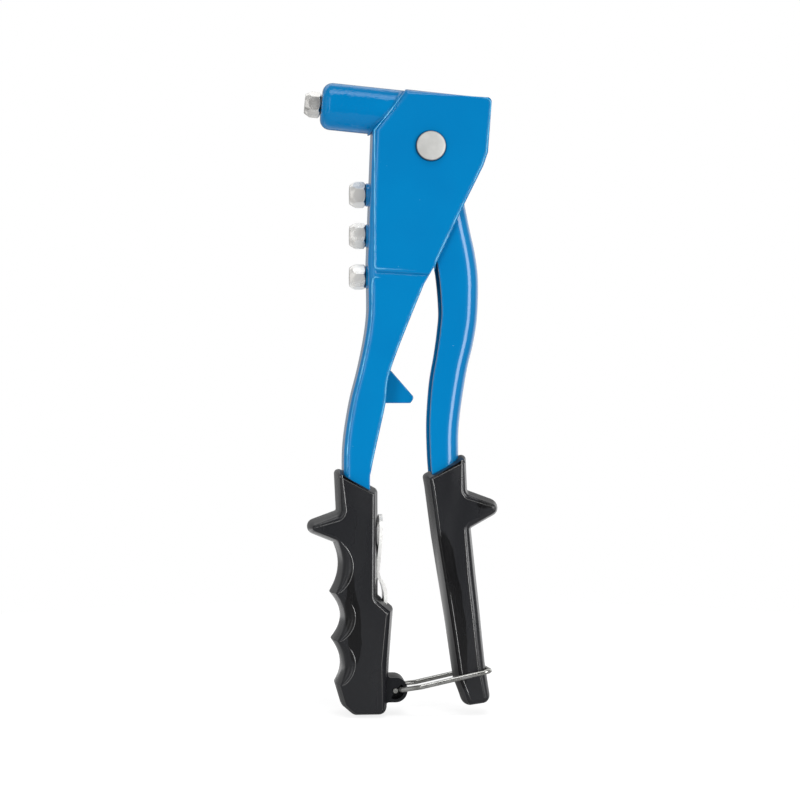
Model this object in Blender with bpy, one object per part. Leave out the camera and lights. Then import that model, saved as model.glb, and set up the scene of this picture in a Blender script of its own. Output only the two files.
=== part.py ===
"""Angled hand riveter: a folded steel body with a turned nose, a lever, and a pulling mechanism inside.

Sizes are millimetres; finish() turns each mesh into metres.
Frame: +Z up along the handles, -X towards the nose, Y across the tool with Y = 0 its mid-plane.
The base of the fixed grip stands on Z = 0.
"""
import bpy
import bmesh
from math import pi, sin, cos, tan, asin, atan2, sqrt, radians
from mathutils import Matrix, Vector

MM = 0.001
GAP = 0.3                # left between two pieces that touch
ROUND_STEPS = 28         # facets round a turned piece
BARREL_STEPS = 36

# Sheet metal
SHEET = 2.0
BODY_WIDTH = 21.0
BODY_FOLD = 3.0          # outer radius where the front wall turns into the side plates
LEVER_WIDTH = BODY_WIDTH - 2 * SHEET - 2 * GAP
LEVER_FOLD = 5.0

# Head: its top runs parallel to the barrel, and a slanted wall carries the barrel
HEAD_TOP_FRONT = (1.7, 259.0)
HEAD_TOP_REAR = (37.3, 255.6)
HEAD_CORNER = 2.0
FRONT_WALL_TOP = (-11.9, 242.3)

# Barrel: along its axis, distances are measured from the front face towards the rear
BARREL_START = (-32.9, 253.0)
BARREL_TILT = radians(5.2)
BARREL_RADIUS = 9.7
BARREL_ROUND = 2.6
BARREL_BORE = 6.9
SPIGOT_RADIUS = 7.9
SPIGOT_END = 37.0
LIP_LENGTH = 1.0
LIP_RADIUS = 5.4

# Nosepieces: a hexagon across flats, with a shank that screws into the barrel or the front wall
HEX_FLATS = 9.5
HEX_LENGTH = 6.6
HEX_CHAMFER = 1.5
HEX_BACK_CHAMFER = 1.0
HEX_FACE_EDGE = 0.35
SHANK_RADIUS = 4.0
SHANK_LENGTH = 4.5
FITTED_BORE = 1.6
SPARE_BORES = (1.2, 2.0, 2.4)
SPARE_TURNS = (-12.0, 14.0, 34.0)
SPARE_PITCH = 17.1
SPARE_TOP = 216.0
SPARE_BASE_X = -14.6
BOSS_RADIUS = 4.8
HOLDER_THICKNESS = 3.0
HOLDER_SIDE_GAP = 1.5
HOLDER_WIDTH = BODY_WIDTH - 2 * SHEET - 2 * HOLDER_SIDE_GAP
HOLDER_MARGIN = 8.0

# Plate that stops the lever, between two heights of the handle
STOP_TAB_LOW = 129.3
STOP_TAB_HIGH = 142.7
STOP_TAB_THICKNESS = 3.0

# Pivot
PIVOT = (11.9, 235.3)
PIN_RADIUS = 3.5
PIN_HEAD_RADIUS = 6.1
PIN_HEAD_THICKNESS = 1.3
PIN_TAIL = 1.0
PIN_EDGE = 0.4
CLIP_THICKNESS = 0.8
CLIP_GROOVE = 0.8
CLIP_RADIUS = 5.6
SPACER_RADIUS = 5.2

# Pulling mechanism inside the barrel, in distances along its axis
CASE_START = 10.6
CASE_END = 24.0
CASE_RADIUS = 6.4
CASE_MOUTH = 2.6
CASE_CHAMFER = 1.2
JAW_SLOPE = radians(12.0)
CONE_LENGTH = 8.4
CASE_THREAD = 4.7
JAW_LENGTH = 6.8
JAW_GAP = 0.6
JAW_THROAT = 2.6
JAW_LIP = 0.5
MANDREL_CHANNEL = 1.1
PUSHER_RADIUS = 3.1
PUSHER_STEM = 2.0
PUSHER_BORE = 1.3
PUSHER_FLANGE = 1.0
PUSHER_LENGTH = 8.2
SLEEVE_START = 20.4
SLEEVE_RADIUS = 4.4
SLEEVE_END = 60.0
SLEEVE_FRONT_BORE = 3.4
SLEEVE_REAR_BORE = 2.2
JAW_SPRING_ROOM = 12.0
COLLAR_RADIUS = 6.8
COLLAR_THICKNESS = 2.0
FORK_LEAN = radians(12.0)
FORK_TIP_RADIUS = 2.8
FORK_PLAY = 0.65
FORK_ARM_HALF = 2.1
FORK_NECK = 6.5
BUSH_LENGTH = 2.5
RETURN_WIRE = 0.6
RETURN_TURNS = 4.0
JAW_WIRE = 0.35
JAW_TURNS = 7.0

# Grips: moulded sleeves over the handle and the lever
GRIP_HALF_DEPTH = 12.0
LEVER_GRIP_HALF_DEPTH = 11.0
GRIP_TOP_SLOPE = radians(28.0)
FIXED_GRIP_TOP = (-26.2, 100.9)       # where the slanted top starts, on the outer side
FIXED_GRIP_ROUNDS = (4.0, 2.0, 2.5)   # edges on the nose side, edges on the other side, lower end
LEVER_GRIP_TOP = (10.8, 98.6)
LEVER_GRIP_ROUNDS = (2.0, 3.5, 2.0)

# Latch: a bent wire that turns in the fixed grip's lug and hooks over the lever grip
WIRE_RADIUS = 1.0
LATCH_PIVOT = (-2.5, 10.5)
LATCH_CLEAR = 0.5         # from the cross bar to the side of the lever grip
LATCH_ANGLE = radians(12.3)
LATCH_HALF_WIDTH = 12.75
LATCH_FLARE_END = 10.5
LATCH_BEND = 3.0
LATCH_DROP = 1.9          # how far the far leg runs below the near one
LATCH_END_OFFSET = 2 * WIRE_RADIUS + GAP
LATCH_SLOT_DEPTH = 4.0
LATCH_SWING = radians(100.0)
LUG_HALF_WIDTH = 7.5
LUG_RADIUS = 5.1
LUG_CENTRE = (-2.6, 10.8)
LUG_ROOT = 9.0           # how far it reaches back into the grip
LUG_FOOT = 8.4

# Wrench for the nosepieces, kept in a pocket of the fixed grip
WRENCH_SHEET = 1.5
WRENCH_HEAD_WIDTH = 17.0
WRENCH_SHANK_WIDTH = 11.0
WRENCH_FLATS = HEX_FLATS + 0.4
WRENCH_BLEND = 3.0

PAINT = (0.0, 0.216, 0.552)
BLACK = (0.012, 0.012, 0.013)
STEEL = (0.62, 0.61, 0.59)
ZINC = (0.70, 0.70, 0.68)
DARK_STEEL = (0.30, 0.30, 0.31)


def clear_scene():
    for item in list(bpy.data.objects):
        bpy.data.objects.remove(item, do_unlink=True)


def material(name, colour, roughness, metallic):
    mat = bpy.data.materials.new(name)
    mat.use_nodes = True
    shader = mat.node_tree.nodes["Principled BSDF"]
    shader.inputs["Base Color"].default_value = (*colour, 1.0)
    shader.inputs["Roughness"].default_value = roughness
    shader.inputs["Metallic"].default_value = metallic
    return mat


def finish(name, bm, mat=None, origin=(0.0, 0.0, 0.0), smooth=35.0):
    """Turn a millimetre bmesh into an object in metres, with its origin at the given point."""
    bmesh.ops.recalc_face_normals(bm, faces=bm.faces)
    shift = Matrix.Translation(-Vector(origin))
    bmesh.ops.transform(bm, matrix=Matrix.Scale(MM, 4) @ shift, verts=bm.verts)
    mesh = bpy.data.meshes.new(name)
    bm.to_mesh(mesh)
    bm.free()
    mesh.shade_smooth()
    mesh.set_sharp_from_angle(angle=radians(smooth))
    obj = bpy.data.objects.new(name, mesh)
    obj.location = Vector(origin) * MM
    bpy.context.collection.objects.link(obj)
    if mat:
        mesh.materials.append(mat)
    return obj


def cutter(name, bm):
    """A guide solid for a Boolean; it isn't a piece of the riveter."""
    obj = finish(name, bm)
    obj.hide_render = True
    obj.display_type = "WIRE"
    return obj


def merged(parts):
    """One mesh from several that don't touch, so that one Boolean applies them all."""
    whole = bmesh.new()
    for part in parts:
        mesh = bpy.data.meshes.new("part")
        part.to_mesh(mesh)
        part.free()
        whole.from_mesh(mesh)
        bpy.data.meshes.remove(mesh)
    return whole


def combine(target, tool, operation):
    mod = target.modifiers.new(tool.name, "BOOLEAN")
    mod.object = tool
    mod.operation = operation
    mod.solver = "EXACT"


def corner_arc(before, corner, after, radius, steps):
    """Points of the arc that rounds a corner between two straight edges."""
    here = Vector(corner)
    to_before = (Vector(before) - here).normalized()
    to_after = (Vector(after) - here).normalized()
    half = to_before.angle(to_after) / 2
    reach = radius / tan(half)
    centre = here + (to_before + to_after).normalized() * (radius / sin(half))
    first = here + to_before * reach - centre
    last = here + to_after * reach - centre
    turn = atan2(first.x * last.y - first.y * last.x, first.dot(last))
    points = []
    for i in range(steps + 1):
        a = turn * i / steps
        points.append((centre.x + first.x * cos(a) - first.y * sin(a),
                       centre.y + first.x * sin(a) + first.y * cos(a)))
    return points


def rounded(corners, steps=5):
    """A closed outline from corners (x, z) or (x, z, radius)."""
    points = []
    count = len(corners)
    for i, corner in enumerate(corners):
        if len(corner) == 2:
            points.append(corner)
            continue
        before = corners[i - 1][:2]
        after = corners[(i + 1) % count][:2]
        points += corner_arc(before, corner[:2], after, corner[2], steps)
    return points


def smooth_path(points, steps=4):
    """A Catmull-Rom curve through the points."""
    ends = [points[0]] + list(points) + [points[-1]]
    curve = []
    for i in range(1, len(ends) - 2):
        a, b, c, d = (Vector(p) for p in ends[i - 1:i + 3])
        for k in range(steps):
            t = k / steps
            curve.append(tuple(0.5 * (2 * b + (c - a) * t + (2 * a - 5 * b + 4 * c - d) * t ** 2
                                      + (3 * b - a - 3 * c + d) * t ** 3)))
    curve.append(tuple(points[-1]))
    return curve


def offset_path(points, distance):
    """Move an open path sideways; positive is to the left of its direction of travel."""
    moved = []
    for i, point in enumerate(points):
        here = Vector(point)
        back = (here - Vector(points[i - 1])).normalized() if i else None
        ahead = (Vector(points[i + 1]) - here).normalized() if i + 1 < len(points) else None
        back = back or ahead
        ahead = ahead or back
        normal = Vector((-(back.y + ahead.y), back.x + ahead.x)).normalized()
        along = Vector((-back.y, back.x)).dot(normal)
        moved.append(tuple(here + normal * (distance / max(along, 0.3))))
    return moved


def at_height(path, z):
    """x of a path at a height, by straight lines between its points."""
    for (x0, z0), (x1, z1) in zip(path, path[1:]):
        low, high = min(z0, z1), max(z0, z1)
        if low <= z <= high and high > low:
            return x0 + (x1 - x0) * (z - z0) / (z1 - z0)
    return path[0][0] if abs(z - path[0][1]) < abs(z - path[-1][1]) else path[-1][0]


def slab(outline, y_low, y_high):
    """An outline in X and Z, extruded across Y."""
    bm = bmesh.new()
    base = bm.faces.new([bm.verts.new((x, y_low, z)) for x, z in outline])
    made = bmesh.ops.extrude_face_region(bm, geom=[base])
    moved = [v for v in made["geom"] if isinstance(v, bmesh.types.BMVert)]
    bmesh.ops.translate(bm, verts=moved, vec=(0, y_high - y_low, 0))
    bmesh.ops.recalc_face_normals(bm, faces=bm.faces)
    return bm


def near_path(point, path, reach):
    for start, end in zip(path, path[1:]):
        a, b = Vector(start), Vector(end)
        span = b - a
        t = max(0.0, min(1.0, (point - a).dot(span) / span.length_squared))
        if (point - a - span * t).length < reach:
            return True
    return False


def fold_edges(bm, path, radius, steps=4):
    """Round the edges that run along a path on both side faces."""
    edges = []
    for edge in bm.edges:
        a, b = (v.co for v in edge.verts)
        if abs(a.y - b.y) < 1e-6:
            middle = (a + b) / 2
            if near_path(Vector((middle.x, middle.z)), path, 0.02):
                edges.append(edge)
    bmesh.ops.bevel(bm, geom=edges, offset=radius, offset_type="OFFSET", affect="EDGES",
                    segments=steps, profile=0.5, material=-1, clamp_overlap=False)


def along(start, tilt):
    """Matrix that lays a turned piece's own axis (X) along a line in the mid-plane."""
    return Matrix.Translation((start[0], 0, start[1])) @ Matrix.Rotation(tilt, 4, "Y")


def turned(profile, matrix, steps=ROUND_STEPS, open_ends=False):
    """Spin a profile of (distance along the axis, radius) a full turn about X."""
    bm = bmesh.new()
    verts = [bm.verts.new((s, 0, r)) for s, r in profile]
    edges = [bm.edges.new(pair) for pair in zip(verts, verts[1:])]
    if not open_ends:
        edges.append(bm.edges.new((verts[-1], verts[0])))
    bmesh.ops.spin(bm, geom=verts + edges, cent=(0, 0, 0), axis=(1, 0, 0), dvec=(0, 0, 0),
                   angle=2 * pi, steps=steps, use_merge=True, use_duplicate=False)
    bmesh.ops.remove_doubles(bm, verts=bm.verts, dist=0.001)
    bmesh.ops.recalc_face_normals(bm, faces=bm.faces)
    bmesh.ops.transform(bm, matrix=matrix, verts=bm.verts)
    return bm


def ring(start, end, outer, bore):
    return [(start, bore), (start, outer), (end, outer), (end, bore)]


def rod(start, end, radius):
    return [(start, 0), (start, radius), (end, radius), (end, 0)]


def across(centre, turn=0.0):
    """Matrix that lays a turned piece's axis along +Y through a point of the side view."""
    return Matrix.Translation((centre[0], 0, centre[1])) @ Matrix.Rotation(pi / 2, 4, "Z") \
        @ Matrix.Rotation(turn, 4, "X")


def bridge(bm, loops):
    """Skin a stack of closed loops of points and close both ends."""
    rings = []
    for loop in loops:
        verts = [bm.verts.new(p) for p in loop]
        rings.append([bm.edges.new((verts[i - 1], verts[i])) for i in range(len(verts))])
    for low, high in zip(rings, rings[1:]):
        bmesh.ops.bridge_loops(bm, edges=low + high)
    for cap in (rings[0], rings[-1]):
        bmesh.ops.contextual_create(bm, geom=cap)
    return bm


BARREL = along(BARREL_START, BARREL_TILT)
ON_AXIS = (BARREL_START[0], 0, BARREL_START[1])
AXIS = Vector((cos(BARREL_TILT), 0, -sin(BARREL_TILT)))


def barrel_foot():
    """Distance along the barrel's axis of the point nearest the pivot, and how far off that is."""
    across_gap = Vector((PIVOT[0] - BARREL_START[0], 0, PIVOT[1] - BARREL_START[1]))
    foot = across_gap.dot(AXIS)
    return foot, sqrt(across_gap.length_squared - foot ** 2)


FORK_FOOT, FORK_ARM = barrel_foot()
FORK_AT = FORK_FOOT + FORK_ARM * tan(FORK_LEAN)


def barrel_point(s):
    point = Vector((BARREL_START[0], 0, BARREL_START[1])) + AXIS * s
    return point.x, point.z


# Paths of the body, from the top rear corner round the front and down the handle
HANDLE_FRONT = [(-14.0, 187.0), (-13.7, 172.0), (-13.9, 165.0), (-15.1, 155.9), (-17.6, 143.7),
                (-21.0, 130.0), (-23.5, 114.2), (-24.0, 101.1)]
HANDLE_END = 12.0
HANDLE_FOOT_FRONT = [(-23.4, 85.0), (-22.4, 60.0), (-21.8, HANDLE_END)]
HANDLE_REAR = [(-12.4, HANDLE_END), (-12.6, 60.0), (-13.3, 95.0), (-12.7, 101.9), (-10.4, 113.0),
               (-6.9, 129.0), (-4.4, 144.2)]
PLATE_REAR = [(9.0, 178.3), (14.5, 187.8), (26.3, 212.6), (33.7, 227.5), (35.6, 233.0)]


def front_path():
    return [HEAD_TOP_REAR, HEAD_TOP_FRONT, FRONT_WALL_TOP] \
        + smooth_path(HANDLE_FRONT + HANDLE_FOOT_FRONT, 3)


def rear_path():
    return smooth_path(HANDLE_REAR + PLATE_REAR[:1], 3)[:-1] + PLATE_REAR


def body_solid(grow):
    """The body before it is hollowed, grown on every side by a clearance."""
    front = offset_path(front_path(), -grow)
    rear = offset_path(rear_path(), -grow)
    low = HANDLE_END - grow
    front[-1] = (front[-1][0], low)
    rear[0] = (rear[0][0], low)
    outline = front + rear
    if grow == 0:
        top = corner_arc(rear[-1], HEAD_TOP_REAR, HEAD_TOP_FRONT, HEAD_CORNER, 4)
        outline = top + front[1:] + rear
        front = [top[-1]] + front[1:]
    half = BODY_WIDTH / 2 + grow
    bm = slab(outline, -half, half)
    fold_edges(bm, front, BODY_FOLD + grow)
    return bm


def body_hollow():
    """The room inside the folded sheet, open to the rear and at the handle's end."""
    inner = offset_path(front_path(), SHEET)
    beyond = 20.0
    inner[0] = (HEAD_TOP_REAR[0] + beyond, inner[0][1] - tan(BARREL_TILT) * beyond)
    inner[-1] = (inner[-1][0], HANDLE_END - beyond)
    rear = offset_path(rear_path(), -beyond / 2)
    rear = [(rear[0][0], HANDLE_END - beyond)] + rear[1:]
    outline = inner + [p for p in rear if p[1] < PLATE_REAR[0][1]] + [(inner[0][0], PLATE_REAR[1][1])]
    half = BODY_WIDTH / 2 - SHEET
    bm = slab(outline, -half, half)
    fold_edges(bm, inner[1:-1], BODY_FOLD - SHEET, 3)
    return bm


def spare_centres():
    return [SPARE_TOP - SPARE_PITCH * i for i in range(len(SPARE_BORES))]


def level_axis(z):
    """Matrix for a turned piece that points out of the front wall at a height."""
    return along((SPARE_BASE_X, z), 0.0)


def make_body(paint):
    body = finish("body_shell", body_solid(0.0), paint)
    boss_length = FRONT_WALL_TOP[0] + SHEET / 2 - SPARE_BASE_X
    bosses = [turned(rod(GAP, boss_length, BOSS_RADIUS), level_axis(z), 24, True) for z in spare_centres()]
    combine(body, cutter("bosses", merged(bosses)), "UNION")
    combine(body, cutter("body_room", body_hollow()), "DIFFERENCE")
    half = BODY_WIDTH / 2 + 1
    holes = [turned(rod(10.0, SPIGOT_END + 5, SPIGOT_RADIUS + GAP), BARREL, ROUND_STEPS, True),
             turned(rod(-half, half, PIN_RADIUS + GAP), across(PIVOT), 24, True)]
    holes += [turned(rod(-2.0, 8.0, SHANK_RADIUS + GAP), level_axis(z), 24, True) for z in spare_centres()]
    combine(body, cutter("body_holes", merged(holes)), "DIFFERENCE")
    return body


def make_barrel(paint):
    r, e = BARREL_RADIUS, BARREL_ROUND
    nose = [(e - e * cos(a), r - e + e * sin(a)) for a in (i * pi / 10 for i in range(6))]
    thread = SHANK_RADIUS + GAP
    inner_start = SHANK_LENGTH + 1.5
    profile = [(0.0, thread)] + nose + [(SPIGOT_END, r), (SPIGOT_END, LIP_RADIUS),
                                        (SPIGOT_END - LIP_LENGTH, LIP_RADIUS),
                                        (SPIGOT_END - LIP_LENGTH, BARREL_BORE),
                                        (inner_start, BARREL_BORE), (inner_start, thread)]
    barrel = finish("nose_barrel", turned(profile, BARREL, BARREL_STEPS), paint)
    # The rear end is cut to the slanted wall, all but the spigot that goes through it
    front = offset_path(front_path(), -GAP)
    wall_top, wall_foot = Vector(front[1]), Vector(front[2])
    above = wall_top + (wall_top - wall_foot) / 2
    behind = above.x + SPIGOT_END
    outline = [(behind, above.y), tuple(above), tuple(wall_foot), front[3], (behind, front[3][1])]
    end_cut = cutter("barrel_end_cut", slab(outline, -BODY_WIDTH, BODY_WIDTH))
    keep = cutter("spigot_keep", turned(rod(-5.0, 80.0, SPIGOT_RADIUS), BARREL, ROUND_STEPS, True))
    combine(end_cut, keep, "DIFFERENCE")
    combine(barrel, end_cut, "DIFFERENCE")
    return barrel


def nosepiece(name, matrix, bore, steel):
    """A turned blank with a shank, chamfered ends and a hole right through, milled to a hexagon."""
    corner = HEX_FLATS / sqrt(3)
    face = HEX_FLATS / 2 - HEX_FACE_EDGE
    outside = corner + GAP
    profile = [(-HEX_LENGTH, bore), (-HEX_LENGTH, face), (-HEX_LENGTH + HEX_CHAMFER, outside),
               (-HEX_BACK_CHAMFER, outside), (0, corner - HEX_BACK_CHAMFER), (0, SHANK_RADIUS),
               (SHANK_LENGTH, SHANK_RADIUS), (SHANK_LENGTH, bore)]
    piece = finish(name, turned(profile, matrix, 30), steel)
    beyond = 2.0
    hexagon = turned(rod(-HEX_LENGTH - beyond, SHANK_LENGTH + beyond, corner), matrix, 6, True)
    combine(piece, cutter(name + "_hexagon", hexagon), "INTERSECT")
    return piece


def make_nosepieces(steel):
    fitted = BARREL @ Matrix.Translation((-GAP, 0, 0)) @ Matrix.Rotation(radians(30), 4, "X")
    nosepiece("nosepiece_fitted", fitted, FITTED_BORE, steel)
    for i, (bore, turn, z) in enumerate(zip(SPARE_BORES, SPARE_TURNS, spare_centres())):
        place = level_axis(z) @ Matrix.Rotation(radians(30 + turn), 4, "X")
        nosepiece("spare_nosepiece_%d" % (i + 1), place, bore, steel)


def make_holder(steel):
    """Threaded strip behind the front wall that the spare nosepieces screw into."""
    centres = spare_centres()
    top, bottom = centres[0] + HOLDER_MARGIN, centres[-1] - HOLDER_MARGIN
    wall = offset_path(front_path(), SHEET + GAP)
    front = [(at_height(wall[2:], z), z) for z in (top, (top + bottom) / 2, bottom)]
    back = [(x + HOLDER_THICKNESS, z) for x, z in reversed(front)]
    strip = finish("spare_holder_strip", slab(front + back, -HOLDER_WIDTH / 2, HOLDER_WIDTH / 2), steel)
    holes = [turned(rod(-2.0, 12.0, SHANK_RADIUS + GAP), level_axis(z), 24, True) for z in centres]
    combine(strip, cutter("holder_holes", merged(holes)), "DIFFERENCE")


def make_pivot(zinc, dark):
    outside = BODY_WIDTH / 2
    head_low = -outside - GAP - PIN_HEAD_THICKNESS
    groove = PIN_RADIUS - CLIP_GROOVE
    groove_end = outside + 2 * GAP + CLIP_THICKNESS
    tail = groove_end + PIN_TAIL
    profile = [(head_low, 0), (head_low, PIN_HEAD_RADIUS - PIN_EDGE), (head_low + PIN_EDGE, PIN_HEAD_RADIUS),
               (-outside - GAP, PIN_HEAD_RADIUS), (-outside - GAP, PIN_RADIUS),
               (outside + GAP / 2, PIN_RADIUS), (outside + GAP / 2, groove), (groove_end, groove),
               (groove_end, PIN_RADIUS), (tail - PIN_EDGE, PIN_RADIUS), (tail, PIN_RADIUS - PIN_EDGE),
               (tail, 0)]
    finish("pivot_pin", turned(profile, across(PIVOT), ROUND_STEPS, True), zinc, (PIVOT[0], 0, PIVOT[1]))
    # Retaining clip: a ring with a mouth, pushed into the pin's groove from below
    clip_low = outside + GAP
    grip = groove + GAP / 2
    clip = finish("pivot_clip", turned(ring(clip_low, clip_low + CLIP_THICKNESS, CLIP_RADIUS, grip),
                                       across(PIVOT)), dark)
    x, z = PIVOT
    below = z - CLIP_RADIUS - 1
    mouth = [(x - grip * 0.8, z), (x + grip * 0.8, z), (x + grip * 1.1, below), (x - grip * 1.1, below)]
    mouth_cut = slab(mouth, clip_low - 1, clip_low + CLIP_THICKNESS + 1)
    combine(clip, cutter("clip_mouth", mouth_cut), "DIFFERENCE")
    room = LEVER_WIDTH / 2 - SHEET - GAP
    spacer = turned(ring(-room, room, SPACER_RADIUS, PIN_RADIUS + GAP / 2), across(PIVOT))
    finish("pivot_spacer", spacer, zinc)


def make_stop_tab(paint):
    """Plate welded into the handle channel that the lever would meet if it closed too far."""
    wall = offset_path(front_path(), SHEET + GAP)[2:]
    low, high = STOP_TAB_LOW, STOP_TAB_HIGH
    outline = rounded([(at_height(wall, high), high), (-3.8, high), (5.9, low + 2.3, 1.6), (4.2, low, 0.8),
                       (at_height(wall, low), low)])
    finish("stop_tab", slab(outline, -STOP_TAB_THICKNESS / 2, STOP_TAB_THICKNESS / 2), paint)


# Paths of the lever: its closed side faces away from the fixed handle
LEVER_WEB = [(26.7, 212.4), (28.9, 201.6), (31.0, 192.1), (32.3, 182.6), (32.4, 173.0), (31.8, 163.0),
             (30.2, 153.5), (27.8, 143.5), (25.4, 128.9), (24.2, 117.3), (24.2, 106.0), (24.6, 95.0),
             (28.2, 60.0), (32.6, 22.0), (33.4, 15.0)]
LEVER_OPEN = [(26.2, 15.0), (24.8, 22.0), (18.8, 60.0), (13.6, 92.0), (12.5, 101.0), (11.9, 111.2),
              (11.8, 123.0), (12.9, 137.8), (14.9, 149.6), (16.6, 165.7), (16.6, 171.0), (14.9, 186.0)]
LEVER_SIDE = [(11.0, 200.0), (7.2, 216.0), (5.2, 228.0)]
LEVER_SHOULDER = [(19.5, 236.0), (21.5, 225.0)]


def lever_web():
    return smooth_path(LEVER_WEB, 2)


def lever_outline(grow):
    """Side view of the lever: web, open edge, and the fork arm up to the sleeve."""
    web = offset_path(lever_web(), grow)
    open_edge = offset_path(smooth_path(LEVER_OPEN + LEVER_SIDE[:2], 2), grow)
    low = LEVER_WEB[-1][1] - grow
    web[-1] = (web[-1][0], low)
    open_edge[0] = (open_edge[0][0], low)
    tip = Vector(barrel_point(FORK_AT))
    arm = (tip - Vector(PIVOT)).normalized()
    side = Vector((-arm.y, arm.x))
    r = FORK_TIP_RADIUS
    left = tip + side * r
    right = tip - side * r
    cap = [tuple(tip + side * (r * cos(a)) + arm * (r * sin(a))) for a in (pi * i / 6 for i in range(1, 6))]
    neck_left = tuple(Vector(PIVOT) + side * FORK_ARM_HALF + arm * FORK_NECK)
    neck_right = tuple(Vector(PIVOT) - side * FORK_ARM_HALF + arm * FORK_NECK)
    arm_outline = [LEVER_SIDE[-1], neck_left, tuple(left)] + cap + [tuple(right), neck_right]
    return web, open_edge + arm_outline + LEVER_SHOULDER


def lever_solid(grow):
    web, rest = lever_outline(grow)
    half = LEVER_WIDTH / 2 + grow
    bm = slab(web + rest, -half, half)
    fold_edges(bm, web, LEVER_FOLD + grow)
    return bm


def lever_room():
    inner = offset_path(lever_web(), -SHEET)
    beyond = 20.0
    top_z = inner[0][1]
    low = LEVER_WEB[-1][1] - beyond
    inner[-1] = (inner[-1][0], low)
    open_edge = offset_path(smooth_path(LEVER_OPEN, 2), beyond / 2)
    open_edge[0] = (open_edge[0][0], low)
    over, behind = PIVOT[1] + beyond, PIVOT[0] + 2 * beyond
    head = [(-beyond, LEVER_OPEN[-1][1]), (-beyond, over), (behind, over), (behind, top_z)]
    half = LEVER_WIDTH / 2 - SHEET
    bm = slab(inner + open_edge + head, -half, half)
    fold_edges(bm, inner[1:-1], LEVER_FOLD - SHEET, 3)
    return bm


def make_lever(paint):
    lever = finish("lever", lever_solid(0.0), paint, (PIVOT[0], 0, PIVOT[1]))
    combine(lever, cutter("lever_room", lever_room()), "DIFFERENCE")
    hole = turned(rod(-20.0, 20.0, PIN_RADIUS + GAP / 2), across(PIVOT), 24, True)
    combine(lever, cutter("lever_pin_hole", hole), "DIFFERENCE")


def make_jaw_case(steel):
    cone_end = CASE_START + CONE_LENGTH
    profile = [(CASE_START, CASE_MOUTH), (CASE_START, CASE_RADIUS - CASE_CHAMFER),
               (CASE_START + CASE_CHAMFER, CASE_RADIUS), (CASE_END, CASE_RADIUS), (CASE_END, CASE_THREAD),
               (cone_end, CASE_THREAD), (cone_end, CASE_MOUTH + CONE_LENGTH * tan(JAW_SLOPE))]
    finish("jaw_case", turned(profile, BARREL), steel, ON_AXIS)


def jaw_sizes():
    """The jaws' start and end along the axis, and their radius at each, inside the case's cone."""
    start = CASE_START + 2 * GAP
    front = CASE_MOUTH + 2 * GAP * tan(JAW_SLOPE) - GAP / cos(JAW_SLOPE)
    return start, start + JAW_LENGTH, front, front + JAW_LENGTH * tan(JAW_SLOPE)


def make_jaws(dark):
    """Two half cones that face each other across the mandrel channel."""
    start, end, front, back = jaw_sizes()
    profile = [(start, 0), (start, front), (end, back), (end, back - JAW_LIP), (end - JAW_THROAT, 0)]
    room = 4 * JAW_LENGTH
    for name, side in (("jaw_upper", 1), ("jaw_lower", -1)):
        jaw = finish(name, turned(profile, BARREL, ROUND_STEPS, True), dark, ON_AXIS)
        half = bmesh.new()
        bmesh.ops.create_cube(half, size=room)
        place = BARREL @ Matrix.Translation((start, 0, side * (JAW_GAP + room) / 2))
        bmesh.ops.transform(half, matrix=place, verts=half.verts)
        combine(jaw, cutter(name + "_half", half), "INTERSECT")
        channel = turned(rod(start - 3, end + 3, MANDREL_CHANNEL), BARREL, 16, True)
        combine(jaw, cutter(name + "_channel", channel), "DIFFERENCE")


def pusher_cone():
    """Start and end of the pusher's cone, which seats in the throat of the jaws."""
    start, end, front, back = jaw_sizes()
    slope = (back - JAW_LIP) / JAW_THROAT
    clear = 1.2 * GAP * sqrt(1 + slope ** 2)
    tip = end - JAW_THROAT + (PUSHER_BORE + clear) / slope
    return tip, tip + (PUSHER_RADIUS - PUSHER_BORE) / slope


def make_pusher(steel):
    tip, cone_end = pusher_cone()
    flange_end = cone_end + PUSHER_FLANGE
    end = tip + PUSHER_LENGTH
    profile = [(tip, PUSHER_BORE), (cone_end, PUSHER_RADIUS), (flange_end, PUSHER_RADIUS),
               (flange_end, PUSHER_STEM), (end, PUSHER_STEM), (end, PUSHER_BORE)]
    finish("jaw_pusher", turned(profile, BARREL, 24), steel, ON_AXIS)


def make_sleeve(steel):
    """Pulling sleeve: screwed into the jaw case, with two collars that the lever's fork runs between."""
    shoulder = SLEEVE_START + JAW_SPRING_ROOM
    half = FORK_TIP_RADIUS + FORK_PLAY
    front_in, rear_in = FORK_AT - half, FORK_AT + half
    front_out, rear_out = front_in - COLLAR_THICKNESS, rear_in + COLLAR_THICKNESS
    profile = [(SLEEVE_START, SLEEVE_FRONT_BORE), (SLEEVE_START, SLEEVE_RADIUS),
               (front_out, SLEEVE_RADIUS), (front_out, COLLAR_RADIUS),
               (front_in, COLLAR_RADIUS), (front_in, SLEEVE_RADIUS),
               (rear_in, SLEEVE_RADIUS), (rear_in, COLLAR_RADIUS),
               (rear_out, COLLAR_RADIUS), (rear_out, SLEEVE_RADIUS),
               (SLEEVE_END, SLEEVE_RADIUS), (SLEEVE_END, SLEEVE_REAR_BORE),
               (shoulder, SLEEVE_REAR_BORE), (shoulder, SLEEVE_FRONT_BORE)]
    finish("pull_sleeve", turned(profile, BARREL), steel, ON_AXIS)


def make_bush(steel):
    end = SPIGOT_END - LIP_LENGTH - GAP
    profile = ring(end - BUSH_LENGTH, end, BARREL_BORE - GAP, SLEEVE_RADIUS + GAP)
    finish("spring_seat", turned(profile, BARREL), steel)


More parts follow.
